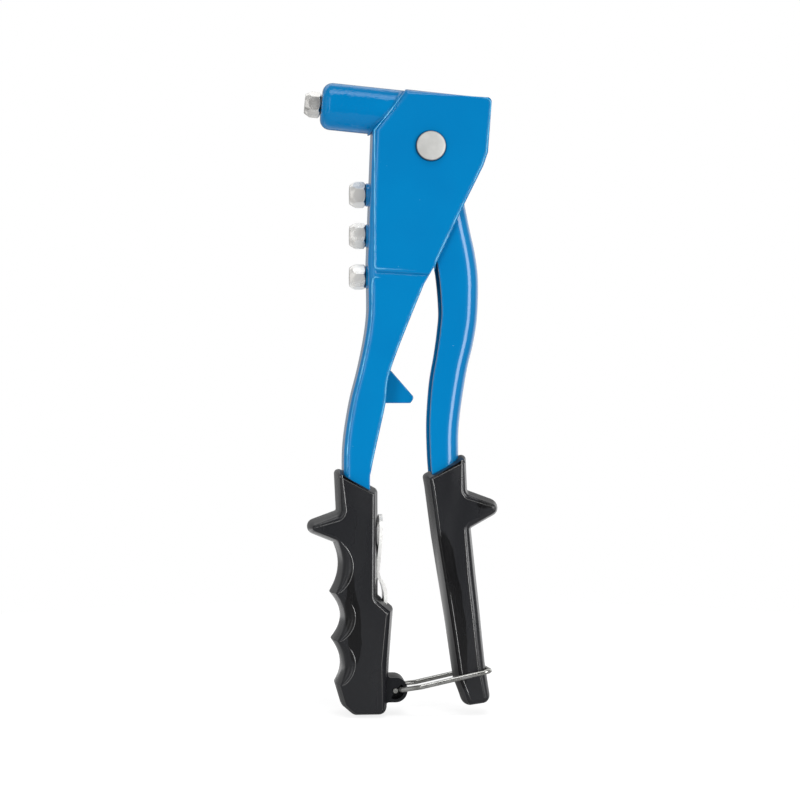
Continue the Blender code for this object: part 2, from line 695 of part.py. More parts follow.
def wire(name, points, radius, sides, mat, origin):
    """A round wire through points, with its object's origin at the given point."""
    curve = bpy.data.curves.new(name, "CURVE")
    curve.dimensions = "3D"
    curve.bevel_depth = radius * MM
    curve.bevel_resolution = sides
    curve.use_fill_caps = True
    curve.materials.append(mat)
    line = curve.splines.new("POLY")
    line.points.add(len(points) - 1)
    for point, place in zip(line.points, points):
        point.co = (*((place - origin) * MM), 1.0)
    obj = bpy.data.objects.new(name, curve)
    obj.location = origin * MM
    bpy.context.collection.objects.link(obj)


def coil(start, end, radius, wire_radius, turns, per_turn=12):
    """Points of a coil along the barrel's axis, between two seats."""
    count = int(turns * per_turn)
    length = end - start - 2 * wire_radius
    points = []
    for i in range(count + 1):
        a = 2 * pi * i / per_turn
        s = start + wire_radius + length * i / count
        points.append(BARREL @ Vector((s, radius * sin(a), radius * cos(a))))
    return points


def make_springs(steel):
    origin = Vector(ON_AXIS)
    seat = SPIGOT_END - LIP_LENGTH - GAP - BUSH_LENGTH
    turns = coil(CASE_END + GAP, seat - GAP, (SLEEVE_RADIUS + BARREL_BORE) / 2, RETURN_WIRE, RETURN_TURNS)
    wire("return_spring", turns, RETURN_WIRE, 2, steel, origin)
    flange_end = pusher_cone()[1] + PUSHER_FLANGE
    shoulder = SLEEVE_START + JAW_SPRING_ROOM
    turns = coil(flange_end + GAP, shoulder - GAP, (PUSHER_STEM + SLEEVE_FRONT_BORE) / 2, JAW_WIRE, JAW_TURNS)
    wire("jaw_spring", turns, JAW_WIRE, 1, steel, origin)


def section(z, left, right, half, round_left, round_right, steps=4):
    """A level section of a grip: a rounded rectangle from left to right."""
    corners = [(left, -half, round_left), (right, -half, round_right),
               (right, half, round_right), (left, half, round_left)]
    return [(x, y, z) for x, y in rounded(corners, steps)]


def grip_levels(left, right, extra):
    heights = sorted({round(z, 3) for _, z in left + right} | set(extra))
    kept = [heights[0]]
    for z in heights[1:]:
        if z - kept[-1] > 0.35:
            kept.append(z)
    return kept


def scalloped(nodes, steps=5):
    """A side line from nodes (x, z, bulge to the next node): each bulge is a shallow arc."""
    path = []
    for (x0, z0, bulge), (x1, z1, _) in zip(nodes, nodes[1:]):
        count = steps if bulge else 1
        for k in range(count):
            t = k / count
            path.append((x0 + (x1 - x0) * t + bulge * 4 * t * (1 - t), z0 + (z1 - z0) * t))
    path.append(nodes[-1][:2])
    return path


def loft_grip(left, right, half, rounds, top, slope):
    """Stack level sections between two side lines and slice the top off on a slant."""
    round_left, round_right, end_round = rounds
    low = left[0][1]
    loops = []
    for z in grip_levels(left, right, [low + end_round]):
        x0, x1 = at_height(left, z), at_height(right, z)
        rise = min(1.0, (z - low) / end_round)
        depth = half - end_round * (1 - sqrt(1 - (1 - rise) ** 2))
        loops.append(section(z, x0, x1, depth, round_left, round_right))
    bm = bmesh.new()
    bridge(bm, loops)
    bmesh.ops.recalc_face_normals(bm, faces=bm.faces)
    everything = list(bm.verts) + list(bm.edges) + list(bm.faces)
    bmesh.ops.bisect_plane(bm, geom=everything, dist=1e-5, plane_co=(top[0], 0, top[1]),
                           plane_no=(sin(slope), 0, cos(slope)), clear_outer=True)
    rim = [e for e in bm.edges if e.is_boundary]
    bmesh.ops.contextual_create(bm, geom=rim)
    return bm


FIXED_LEFT = [(-20.0, 0.0, -0.4), (-23.6, 5.0, -0.3), (-26.1, 13.6, 2.3), (-27.4, 31.7, 3.3),
              (-28.0, 51.2, 2.1), (-26.7, 72.3, 0.0), (-31.6, 74.2, 0.0), (-37.3, 78.0, 0.0),
              (-35.8, 80.2, 0.0), (-26.2, 83.8, 0.0), (-25.6, 86.5, 0.0), (-26.0, 98.0, 0.0),
              (-26.2, 108.0, 0.0)]
FIXED_RIGHT = [(-8.2, 0.0), (-7.2, 3.0), (-5.9, 22.3), (-5.2, 33.4), (-4.5, 44.0), (-10.4, 49.3),
               (-10.8, 52.0), (-11.1, 93.1), (-11.1, 108.0)]


def make_fixed_grip(black):
    bm = loft_grip(scalloped(FIXED_LEFT), FIXED_RIGHT, GRIP_HALF_DEPTH, FIXED_GRIP_ROUNDS, FIXED_GRIP_TOP,
                   GRIP_TOP_SLOPE)
    grip = finish("fixed_grip", bm, black)
    combine(grip, cutter("lug_body", slab(lug_outline(), -LUG_HALF_WIDTH, LUG_HALF_WIDTH)), "UNION")
    combine(grip, cutter("handle_room", body_solid(GAP)), "DIFFERENCE")
    combine(grip, cutter("wrench_pocket", wrench_pocket()), "DIFFERENCE")
    far_hole = turned(rod(-20.0, 20.0, WIRE_RADIUS + GAP), across(LATCH_PIVOT), 20, True)
    combine(grip, cutter("latch_hole", far_hole), "DIFFERENCE")
    combine(grip, cutter("latch_slot", latch_slot()), "DIFFERENCE")


def lug_outline():
    """Side view of the lug: a round end that widens into the grip above and below."""
    x, z = LUG_CENTRE
    r = LUG_RADIUS
    root = x - LUG_ROOT
    below, above = z - LUG_FOOT, z + LUG_FOOT - 1
    return rounded([(root, below), (x - r + 0.3, below), (x - r + 1.5, z - r, 1.5), (x + r, z - r, r - 0.2),
                    (x + r, z + r, r - 0.2), (x - r + 2.4, z + r, 1.2), (x - r + 1.8, above), (root, above)])


def latch_slot():
    """Short curved slot for the near end of the wire, which runs off the hinge's axis."""
    inner = LATCH_END_OFFSET - WIRE_RADIUS - GAP
    outer = LATCH_END_OFFSET + WIRE_RADIUS + GAP
    play = asin((WIRE_RADIUS + GAP) / LATCH_END_OFFSET)
    start = LATCH_ANGLE + play
    end = LATCH_ANGLE - LATCH_SWING - play
    steps = 10
    angles = [start + (end - start) * i / steps for i in range(steps + 1)]
    x, z = LATCH_PIVOT
    arc = [(x + outer * cos(a), z + outer * sin(a)) for a in angles]
    arc += [(x + inner * cos(a), z + inner * sin(a)) for a in reversed(angles)]
    return slab(arc, -LUG_HALF_WIDTH - 1, -LUG_HALF_WIDTH + LATCH_SLOT_DEPTH)


LEVER_GRIP_RIGHT = [(33.2, 4.4), (34.9, 6.0), (35.7, 9.5), (35.4, 15.0), (34.5, 21.0), (32.5, 41.4),
                    (30.7, 57.6), (28.6, 77.8), (38.0, 83.1), (40.17, 86.0), (36.6, 89.2), (27.2, 92.7),
                    (26.7, 98.0), (26.4, 106.3), (25.8, 112.0)]
LEVER_GRIP_LEFT = [(27.0, 4.4), (25.8, 6.0), (24.8, 10.0), (23.4, 14.6), (20.0, 37.9), (17.9, 51.0),
                   (14.1, 74.3), (11.4, 94.7), (10.9, 99.0), (9.6, 112.0)]


def make_lever_grip(black):
    bm = loft_grip(LEVER_GRIP_LEFT, LEVER_GRIP_RIGHT, LEVER_GRIP_HALF_DEPTH, LEVER_GRIP_ROUNDS,
                   LEVER_GRIP_TOP, -GRIP_TOP_SLOPE)
    grip = finish("lever_grip", bm, black, (PIVOT[0], 0, PIVOT[1]))
    combine(grip, cutter("lever_room_in_grip", lever_solid(GAP)), "DIFFERENCE")


def wrench_path():
    """Side view of the bent strip, from its head down to the end in the pocket."""
    return [(-8.0, 83.0), (-8.5, 74.0), (-9.5, 60.5), (-8.3, 56.5), (-7.2, 52.0), (-7.0, 46.0), (-7.0, 24.0)]


def wrench_pocket():
    x, z = wrench_path()[-1]
    play = WRENCH_SHEET / 2 + GAP
    half = WRENCH_SHANK_WIDTH / 2 + GAP
    low, top = z - GAP, wrench_path()[2][1]
    return slab([(x - play, low), (x + play, low), (x + play, top), (x - play, top)], -half, half)


def make_wrench(zinc):
    path = smooth_path(wrench_path()[:-1], 3) + [wrench_path()[-1]]
    left = offset_path(path, -WRENCH_SHEET / 2)
    right = offset_path(path, WRENCH_SHEET / 2)
    half = WRENCH_HEAD_WIDTH / 2
    foot_x, foot_z = path[-1]
    wrench = finish("nose_wrench", slab(left + right[::-1], -half, half), zinc, (foot_x, 0, foot_z))
    # Plan of the strip seen from the lever: a round head with a hexagon opening, and a shank
    head_z = path[0][1] - half
    shank = WRENCH_SHANK_WIDTH / 2
    shoulder = head_z - half - WRENCH_BLEND
    below = foot_z - 10
    side = 30.0
    head = [(half * sin(a), head_z + half * cos(a)) for a in (radians(t) for t in range(-120, 121, 15))]
    outline = head + [(shank, shoulder), (shank, below), (-shank, below), (-shank, shoulder)]
    plan = bmesh.new()
    base = plan.faces.new([plan.verts.new((-side, y, z)) for y, z in outline])
    made = bmesh.ops.extrude_face_region(plan, geom=[base])
    moved = [v for v in made["geom"] if isinstance(v, bmesh.types.BMVert)]
    bmesh.ops.translate(plan, verts=moved, vec=(2 * side, 0, 0))
    combine(wrench, cutter("wrench_plan", plan), "INTERSECT")
    across_corners = WRENCH_FLATS / sqrt(3)
    hexagon = turned(rod(-side, side, across_corners), Matrix.Translation((0, 0, head_z)), 6, True)
    combine(wrench, cutter("wrench_hexagon", hexagon), "DIFFERENCE")


def wire_points(corners, steps=5):
    """Points of a bent wire: straight runs with an arc at each corner that has a radius."""
    plain = [c[0] if isinstance(c, tuple) else c for c in corners]
    points = []
    for i, corner in enumerate(corners):
        if not isinstance(corner, tuple):
            points.append(corner)
            continue
        here, radius = corner
        to_before = (plain[i - 1] - here).normalized()
        to_after = (plain[i + 1] - here).normalized()
        half = to_before.angle(to_after) / 2
        centre = here + (to_before + to_after).normalized() * (radius / sin(half))
        first = here + to_before * (radius / tan(half)) - centre
        last = here + to_after * (radius / tan(half)) - centre
        normal = first.cross(last).normalized()
        sweep = first.angle(last)
        points += [centre + Matrix.Rotation(sweep * k / steps, 3, normal) @ first for k in range(steps + 1)]
    return points


def latch_reach():
    """Distance from the latch's pivot to its cross bar, which lies just outside the lever grip."""
    x, z = LATCH_PIVOT
    side = LEVER_GRIP_RIGHT[-1][0]
    for _ in range(4):
        side = at_height(LEVER_GRIP_RIGHT, z + (side - x) * tan(LATCH_ANGLE)) + LATCH_CLEAR + WIRE_RADIUS
    return (side - x) / cos(LATCH_ANGLE)


def make_latch(steel):
    """Bent wire: two legs that spread from the lug, a cross bar, and both ends turned inwards."""
    x, z = LATCH_PIVOT
    pivot = Vector((x, 0, z))
    run = Vector((cos(LATCH_ANGLE), 0, sin(LATCH_ANGLE)))
    flare, bar = pivot + run * LATCH_FLARE_END, pivot + run * latch_reach()
    near_end = pivot + run * LATCH_END_OFFSET
    lug_side = Vector((0, LUG_HALF_WIDTH + GAP + WIRE_RADIUS, 0))
    wide = Vector((0, LATCH_HALF_WIDTH, 0))
    lower = Vector((0, 0, -LATCH_DROP))
    near_tip = Vector((0, -LUG_HALF_WIDTH + LATCH_SLOT_DEPTH - 3 * GAP, 0))
    far_tip = Vector((0, -LUG_HALF_WIDTH - GAP, 0))
    near = [near_end + near_tip, (near_end - lug_side, WIRE_RADIUS + 0.2), (flare - wide, LATCH_BEND),
            (bar - wide, LATCH_BEND)]
    far = [(bar + wide + lower, LATCH_BEND), (flare + wide + lower, LATCH_BEND),
           (pivot + lug_side, WIRE_RADIUS + 0.6), pivot + far_tip]
    wire("latch_wire", wire_points(near + far), WIRE_RADIUS, 3, steel, pivot)


def main():
    clear_scene()
    paint = material("blue_paint", PAINT, 0.25, 0.0)
    black = material("black_vinyl", BLACK, 0.3, 0.0)
    steel = material("bright_steel", STEEL, 0.28, 1.0)
    zinc = material("zinc_plate", ZINC, 0.35, 1.0)
    dark = material("hardened_steel", DARK_STEEL, 0.4, 1.0)
    make_body(paint)
    make_barrel(paint)
    make_nosepieces(steel)
    make_holder(zinc)
    make_pivot(zinc, dark)
    make_stop_tab(paint)
    make_lever(paint)
    make_jaw_case(dark)
    make_jaws(dark)
    make_pusher(steel)
    make_sleeve(steel)
    make_bush(steel)
    make_springs(steel)
    make_fixed_grip(black)
    make_lever_grip(black)
    make_wrench(zinc)
    make_latch(steel)


main()
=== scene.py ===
# %% [markdown]
# An angled hand riveter: a folded blue steel body with a turned nose, a folded lever, two moulded vinyl
# grips, bright nosepieces, a small key and a wire latch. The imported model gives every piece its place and
# size. Here each visible piece is modelled again with fine edges, and each finish is mixed from nodes.

# %% Load the frame
from math import asin, cos, pi, radians, sin, sqrt, tan

import bmesh
import bpy
from mathutils import Matrix, Vector


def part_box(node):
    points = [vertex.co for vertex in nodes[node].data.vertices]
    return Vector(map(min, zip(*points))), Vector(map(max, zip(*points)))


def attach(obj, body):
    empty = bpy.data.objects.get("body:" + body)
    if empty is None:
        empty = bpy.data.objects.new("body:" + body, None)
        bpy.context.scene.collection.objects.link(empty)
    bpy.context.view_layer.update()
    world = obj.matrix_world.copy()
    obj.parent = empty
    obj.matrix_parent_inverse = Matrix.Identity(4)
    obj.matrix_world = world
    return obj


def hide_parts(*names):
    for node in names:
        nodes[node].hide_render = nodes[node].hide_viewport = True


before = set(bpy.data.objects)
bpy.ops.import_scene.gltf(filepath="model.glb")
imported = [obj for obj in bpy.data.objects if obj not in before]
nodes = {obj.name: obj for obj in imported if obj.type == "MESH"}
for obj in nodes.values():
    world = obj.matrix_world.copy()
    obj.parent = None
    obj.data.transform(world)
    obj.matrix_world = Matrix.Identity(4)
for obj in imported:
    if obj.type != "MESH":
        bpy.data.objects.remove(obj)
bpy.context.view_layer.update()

# %% [markdown]
# The photograph looks straight at the side of the tool, from about its middle height and five degrees to
# the nose's side. The lens follows from two facts: how many millimetres one pixel spans at the tool, and
# how far away the camera stands, which shows in how much of each grip's side wall can be seen.

# %% Camera
MM = 0.001
MM_PER_PIXEL = 0.41732
PICTURE = 800
VIEW_HEIGHT = 130.6
VIEW_DISTANCE = 750.0
VIEW_TURN = radians(5.0)
SENSOR = 36.0
NEAREST = 0.01

camera = bpy.data.objects.new("camera", bpy.data.cameras.new("camera"))
camera.data.sensor_width = SENSOR
camera.data.lens = SENSOR * VIEW_DISTANCE / (PICTURE * MM_PER_PIXEL)
camera.data.clip_start = NEAREST
camera.location = Vector((-sin(VIEW_TURN) * VIEW_DISTANCE, -cos(VIEW_TURN) * VIEW_DISTANCE, VIEW_HEIGHT)) * MM
camera.rotation_euler = (pi / 2, 0, -VIEW_TURN)
bpy.context.scene.collection.objects.link(camera)
bpy.context.scene.camera = camera
bpy.context.scene.view_settings.view_transform = "Standard"
print("lens", round(camera.data.lens, 1), "mm")

# %% [markdown]
# Shader maths reads best as arithmetic. A Value wraps one output socket, and an operator on it adds the
# Math node that works it out. A Tree makes every other node: settings first, then values or links.

# %% Shader values


class Value:
    """A number or colour that a shader works out at each point."""

    def __init__(self, tree, socket):
        self.tree = tree
        self.socket = socket

    def math(self, operation, *others):
        return self.tree.node("ShaderNodeMath", {"operation": operation}, [self, *others])

    def __add__(self, other):
        return self.math("ADD", other)

    def __mul__(self, other):
        return self.math("MULTIPLY", other)

    def __sub__(self, other):
        return self.math("SUBTRACT", other)

    def __rsub__(self, other):
        return self.tree.node("ShaderNodeMath", {"operation": "SUBTRACT"}, [other, self])

    __radd__ = __add__
    __rmul__ = __mul__

    def between(self, low, high, start=0.0, end=1.0):
        """A smooth rise from start to end as this value goes from low to high."""
        settings = {"interpolation_type": "SMOOTHSTEP"}
        return self.tree.node("ShaderNodeMapRange", settings, [self, low, high, start, end])


class Tree:
    """The nodes of one material, or of the world."""

    def __init__(self, owner):
        owner.use_nodes = True
        self.nodes = owner.node_tree.nodes
        self.links = owner.node_tree.links

    def node(self, kind, settings=None, inputs=(), out=0):
        made = self.nodes.new(kind)
        for name, setting in (settings or {}).items():
            if name == "stops":
                for stop, (place, colour) in zip(made.color_ramp.elements, setting):
                    stop.position = place
                    stop.color = (*colour, 1.0)
            else:
                setattr(made, name, setting)
        pairs = inputs.items() if isinstance(inputs, dict) else enumerate(inputs)
        for key, value in pairs:
            if isinstance(value, Value):
                self.links.new(value.socket, made.inputs[key])
            else:
                made.inputs[key].default_value = value
        return Value(self, made.outputs[out])

    def place(self, scale=(1.0, 1.0, 1.0), turn=(0.0, 0.0, 0.0), move=(0.0, 0.0, 0.0)):
        """The point on the piece, in metres, moved, turned and scaled."""
        point = self.node("ShaderNodeTexCoord", out="Object")
        inputs = {"Vector": point, "Location": move, "Rotation": turn, "Scale": scale}
        return self.node("ShaderNodeMapping", {}, inputs)

    def noise(self, scale, detail=3.0, roughness=0.5, at=None):
        inputs = {"Scale": scale, "Detail": detail, "Roughness": roughness}
        inputs["Vector"] = at or self.place()
        return self.node("ShaderNodeTexNoise", {}, inputs)

    def mix(self, factor, low, high):
        """One colour or the other, by the factor."""
        low, high = (c if isinstance(c, Value) else (*c, 1.0) for c in (low, high))
        return self.node("ShaderNodeMix", {"data_type": "RGBA"}, {0: factor, 6: low, 7: high}, out=2)

    def bump(self, height, distance, strength=1.0, on=None):
        inputs = {"Height": height, "Distance": distance, "Strength": strength}
        if on:
            inputs["Normal"] = on
        return self.node("ShaderNodeBump", {}, inputs)

    def soft_edges(self, radius):
        """The surface direction, turned gradually over every edge within a radius."""
        return self.node("ShaderNodeBevel", {"samples": 6}, {"Radius": radius})


def finish_material(name, values, recipe):
    """A material whose shader gets plain values, and then what the recipe works out for its sockets."""
    mat = bpy.data.materials.new(name)
    tree = Tree(mat)
    shader = tree.nodes["Principled BSDF"]
    for socket, value in values.items():
        shader.inputs[socket].default_value = value
    for socket, value in recipe(tree).items():
        tree.links.new(value.socket, shader.inputs[socket])
    return mat


print("shader helpers ready")

# %% [markdown]
# A product photograph on white: the camera sees a white world. What the surfaces mirror is painted into the
# world as well, and only reflected rays see it: a grey room, one dark upright patch where the camera
# stands, two narrow soft boxes on the left, a wide one on the right and one overhead. Each of them draws a
# bright line along the folds that turn towards it. Three lamps that no reflection shows give the light.

# %% Stage and light
ROOM_NEAR = 0.2
ROOM_FAR = 0.36
DARK_PATCH = 0.04
PATCH_MIDDLE = 0.087
LIGHT_LEVEL = 0.34
LIGHT_BEHIND = 0.75
SIDE_BLUR = 0.03
END_BLUR = 0.08
# Left, right, lower and upper side of each soft box, as parts of a reflected ray's direction, and its level
SOFT_BOXES = [((-0.97, -0.80, -0.4, 0.6), 0.8), ((-0.56, -0.40, -0.6, 0.6), 2.4),
              ((0.50, 0.80, -0.65, 0.5), 6.0), ((-0.4, 0.45, 0.87, 0.965), 5.0)]
FLOOR_RADIUS = 0.42
FLOOR_LEVEL = 0.8
AIM_HEIGHT = 0.13


def ray_seen(tree, kinds):
    """1 for rays of these kinds."""
    rays = tree.nodes.new("ShaderNodeLightPath")
    seen = Value(tree, rays.outputs[kinds[0]])
    for kind in kinds[1:]:
        seen = seen.math("MAXIMUM", Value(tree, rays.outputs[kind]))
    return seen


def band(value, low, high, blur):
    """1 between two limits and 0 outside them, with blurred limits."""
    return value.between(low - blur, low + blur) * value.between(high - blur, high + blur, 1.0, 0.0)


def soft_box(aside, up, front, place, level):
    """A bright field of the world."""
    left, right, low, high = place
    return band(aside, left, right, SIDE_BLUR) * band(up, low, high, END_BLUR) * front * level


def make_world():
    world = bpy.data.worlds.new("studio")
    bpy.context.scene.world = world
    tree = Tree(world)
    seen = ray_seen(tree, ["Is Camera Ray", "Is Transmission Ray"])
    glossy = ray_seen(tree, ["Is Glossy Ray"])
    direction = tree.node("ShaderNodeTexCoord", out="Generated")
    aside, away, up = (tree.node("ShaderNodeSeparateXYZ", {}, [direction], out=axis) for axis in "XYZ")
    front = away.between(-0.15, 0.05, 1.0, 0.0)
    room = (aside - PATCH_MIDDLE).math("ABSOLUTE").between(0.07, 0.16, DARK_PATCH, ROOM_NEAR)
    room = room * up.between(-0.6, 0.1, 0.25, 1.0)
    fields = [away.between(-0.1, 0.5, DARK_PATCH, ROOM_FAR),
              away.between(0.1, 0.6) * aside.between(0.2, 0.6, 0.0, 1.5),
              away.between(0.3, 0.5) * up.between(0.4, 0.7, 0.0, 1.3)]
    for field in fields + [soft_box(aside, up, front, place, level) for place, level in SOFT_BOXES]:
        room = room.math("MAXIMUM", field)
    around = away.between(0.0, 0.5, LIGHT_LEVEL, LIGHT_BEHIND)
    around = around.math("MAXIMUM", aside.between(-0.9, -0.4, 1.1, 0.0))
    level = glossy * room + (1.0 - glossy) * around
    level = seen.math("MAXIMUM", level)
    background = tree.nodes["Background"]
    tree.links.new(level.socket, background.inputs["Strength"])
    background.inputs["Color"].default_value = (1, 1, 1, 1)


def strip_light(name, angle, distance, height, size, power):
    """An upright soft box that faces the tool; the angle is from the camera's side towards the right."""
    lamp = bpy.data.lights.new(name, "AREA")
    lamp.shape = "RECTANGLE"
    lamp.size, lamp.size_y = size
    lamp.energy = power
    obj = bpy.data.objects.new(name, lamp)
    a = radians(angle) - VIEW_TURN
    obj.location = (sin(a) * distance, -cos(a) * distance, height)
    aim = Vector((0, 0, AIM_HEIGHT)) - obj.location
    obj.rotation_euler = aim.to_track_quat("-Z", "Y").to_euler()
    obj.visible_glossy = False
    bpy.context.scene.collection.objects.link(obj)


def make_floor():
    bm = bmesh.new()
    bmesh.ops.create_circle(bm, cap_ends=True, radius=FLOOR_RADIUS, segments=96)
    mesh = bpy.data.meshes.new("floor")
    bm.to_mesh(mesh)
    bm.free()
    floor = bpy.data.objects.new("floor", mesh)
    bpy.context.scene.collection.objects.link(floor)
    mat = bpy.data.materials.new("floor_white")
    tree = Tree(mat)
    place = tree.node("ShaderNodeSeparateXYZ", {}, [tree.place()], out="Y")
    behind = place.between(0.02, 0.25, 0.05, 1.0)
    seen = ray_seen(tree, ["Is Camera Ray", "Is Transmission Ray"])
    seen = seen.math("MAXIMUM", ray_seen(tree, ["Is Glossy Ray"]) * behind)
    seen = seen.math("MAXIMUM", ray_seen(tree, ["Is Diffuse Ray"]) * 0.9)
    shader = tree.nodes["Principled BSDF"]
    shader.inputs["Base Color"].default_value = (0.35, 0.35, 0.35, 1)
    shader.inputs["Roughness"].default_value = 1.0
    shader.inputs["Specular IOR Level"].default_value = 0.0
    shader.inputs["Emission Color"].default_value = (1, 1, 1, 1)
    tree.links.new((seen * FLOOR_LEVEL).socket, shader.inputs["Emission Strength"])
    mesh.materials.append(mat)


make_world()
make_floor()
strip_light("box_left", -27.0, 1.2, 0.2, (0.30, 0.7), 4.2)
strip_light("box_right", 44.0, 1.2, 0.2, (0.80, 0.62), 9.5)
strip_light("overhead", 12.0, 0.45, 1.15, (0.5, 0.25), 3.4)

# %% [markdown]
# The blue is a glossy enamel over steel: an even colour, a fine orange-peel surface that breaks up the
# reflections, a few pale specks of dust and tiny chips, and a painted shadow in a dark ring round the pin.
# On the barrel it is rougher and mirrors less. Where paint has run into thin raised lines along the edges,
# it is very glossy, and paler: a painted highlight along each line.

# %% Blue enamel
BLUE = (0.0, 0.166, 0.412)
BLUE_PALE = (0.0, 0.178, 0.430)
SPECK = (0.20, 0.50, 0.70)
PIN_SHADOW = (0.0, 0.01, 0.03)
# Raised paint lines along the edges: their paler blues are a painted highlight
LINE_HIGHLIGHT_BLUE = (0.0, 0.22, 0.48)
LINE_HIGHLIGHT_PALE = (0.06, 0.36, 0.62)
PEEL = 0.9
PIVOT = (11.9, 235.3)


def pin_distance(tree):
    """How far a point lies from the pin's axis, in metres."""
    from_axis = tree.place(scale=(1.0, 0.0, 1.0), move=(-PIVOT[0] * MM, 0.0, -PIVOT[1] * MM))
    return tree.node("ShaderNodeVectorMath", {"operation": "LENGTH"}, [from_axis], out="Value")


def enamel_recipe(tree, peel=0.0):
    cloud = tree.noise(28.0, 2.0).between(0.35, 0.65)
    colour = tree.mix(cloud, BLUE, BLUE_PALE)
    dust = tree.noise(1500.0, 1.0).between(0.80, 0.84)
    patch = tree.noise(120.0, 1.0).between(0.60, 0.66)
    colour = tree.mix(dust * patch, colour, SPECK)
    # Painted shadow: a dark ring on the plate round the pin's head
    colour = tree.mix(pin_distance(tree).between(0.0061, 0.0068, 0.75, 0.0), colour, PIN_SHADOW)
    fine = tree.noise(620.0, 2.0)
    wave = tree.noise(95.0, 1.0)
    dents = tree.noise(420.0, 2.0).between(0.3, 0.7)
    normal = tree.bump(fine * 0.35 + wave + dents * peel, 0.00011, 0.6, on=tree.soft_edges(0.0009))
    roughness = tree.noise(60.0, 3.0).between(0.3, 0.7, 0.055, 0.085)
    return {"Base Color": colour, "Roughness": roughness, "Normal": normal}


def line_highlight_recipe(tree):
    thin = tree.noise(160.0, 2.0).between(0.4, 0.6)
    return {"Base Color": tree.mix(thin, LINE_HIGHLIGHT_BLUE, LINE_HIGHLIGHT_PALE)}


THICK_PAINT = {"Coat Weight": 1.0, "Coat Roughness": 0.05, "Coat IOR": 1.7, "Specular IOR Level": 0.1,
               "Roughness": 0.3}
blue = finish_material("blue_enamel", {"Specular IOR Level": 0.6}, enamel_recipe)
blue_barrel = finish_material("blue_enamel_peeled", {"Specular IOR Level": 0.3},
                              lambda tree: enamel_recipe(tree, PEEL))
blue_highlight_line = finish_material("blue_enamel_line_highlight", THICK_PAINT, line_highlight_recipe)
print(blue.name, blue_barrel.name, blue_highlight_line.name)

# %% [markdown]
# The grips are soft moulded vinyl: nearly black, with a slightly wavy surface from the mould and a fine
# grain. Three darker patches on the panels are painted reflections. The walls between the handles are
# duller, so they have a finish of their own. The raised lines round the panels are rubbed to a shine.

# %% Black vinyl
# The darker colour inside the patches, which are painted reflections
BLACK = (0.0025, 0.0025, 0.003)
BLACK_DULL = (0.0122, 0.0127, 0.0145)
RUBBED = ((0.008, 0.008, 0.008), (0.02, 0.02, 0.02))
# Middle, half width and half height of each painted dark reflection in the side view, and its lean
VINYL_DARK_REFLECTIONS = [((-20.3, 40.0), (3.4, 19.0), -0.06), ((20.6, 45.0), (4.6, 38.0), -0.13),
                 ((35.5, 89.0), (5.0, 3.0), -0.3)]


def patch_distance(tree, patch):
    """1 on the rim of an upright ellipse in the side view and less inside it."""
    (x, z), (wide, high), lean = patch
    centred = tree.place(scale=(1.0, 0.0, 1.0), move=(-x * MM, 0.0, -z * MM))
    inputs = {"Vector": centred, "Rotation": (0.0, lean, 0.0)}
    turned_to = tree.node("ShaderNodeMapping", {"vector_type": "TEXTURE"}, inputs)
    inputs = {"Vector": turned_to, "Scale": (1 / (wide * MM), 0.0, 1 / (high * MM))}
    scaled = tree.node("ShaderNodeMapping", {}, inputs)
    return tree.node("ShaderNodeVectorMath", {"operation": "LENGTH"}, [scaled], out="Value")


def vinyl_recipe(tree):
    shine = tree.noise(45.0, 3.0, at=tree.place(scale=(1.0, 1.0, 0.45)))
    ripple = tree.noise(75.0, 2.0) * 0.9 - 0.45
    # The patches are painted reflections: the vinyl's colour is darker inside them
    patches = [patch_distance(tree, patch) + ripple for patch in VINYL_DARK_REFLECTIONS]
    dark = patches[0].math("MINIMUM", patches[1]).math("MINIMUM", patches[2])
    wave = tree.noise(58.0, 1.0, at=tree.place(scale=(1.0, 1.0, 0.35), move=(0.3, 0.0, 0.0)))
    grain = tree.noise(1800.0, 2.0)
    normal = tree.bump(wave + grain * 0.006, 0.0022, 0.8)
    return {"Base Color": tree.mix(dark.between(0.94, 1.0), BLACK, BLACK_DULL),
            "Roughness": shine.between(0.35, 0.68, 0.22, 0.34), "Normal": normal}


def rubbed_recipe(tree):
    worn = tree.noise(70.0, 3.0).between(0.35, 0.65)
    return {"Base Color": tree.mix(worn, *RUBBED)}


vinyl = finish_material("black_vinyl", {"IOR": 1.5}, vinyl_recipe)
vinyl_inner = finish_material("black_vinyl_inner", {"IOR": 1.5, "Specular IOR Level": 0.1}, vinyl_recipe)
vinyl_rubbed = finish_material("black_vinyl_rubbed", {"Roughness": 0.12, "IOR": 2.9}, rubbed_recipe)
print(vinyl.name, vinyl_inner.name, vinyl_rubbed.name)

# %% [markdown]
# The metals differ in colour and in how much they mirror: nickel with fine turning lines on the fitted
# nosepiece and, paler, on the spares; mottled zinc, brighter on the wrench and darker on the wire; the satin
# face of the pin, its rim darkened as a painted shade; and the dark steel of the jaws, the clip and the
# nosepieces' threads and rear chamfers, where it is a painted shade in the gap before each boss.

# %% Metals
NICKEL = ((0.74, 0.725, 0.70), (0.93, 0.92, 0.89))
ZINC = ((0.66, 0.66, 0.64), (0.80, 0.80, 0.78))
PALE_ZINC = ((0.82, 0.82, 0.80), (0.95, 0.95, 0.93))
WIRE_ZINC = ((0.38, 0.38, 0.36), (0.60, 0.60, 0.58))
SATIN = ((0.48, 0.48, 0.465), (0.54, 0.54, 0.525))
# Painted shade on the outer rim of the pin's face
PIN_RIM_SHADE = (0.02, 0.03, 0.05)
DARK_STEEL = ((0.24, 0.24, 0.25), (0.34, 0.34, 0.35))


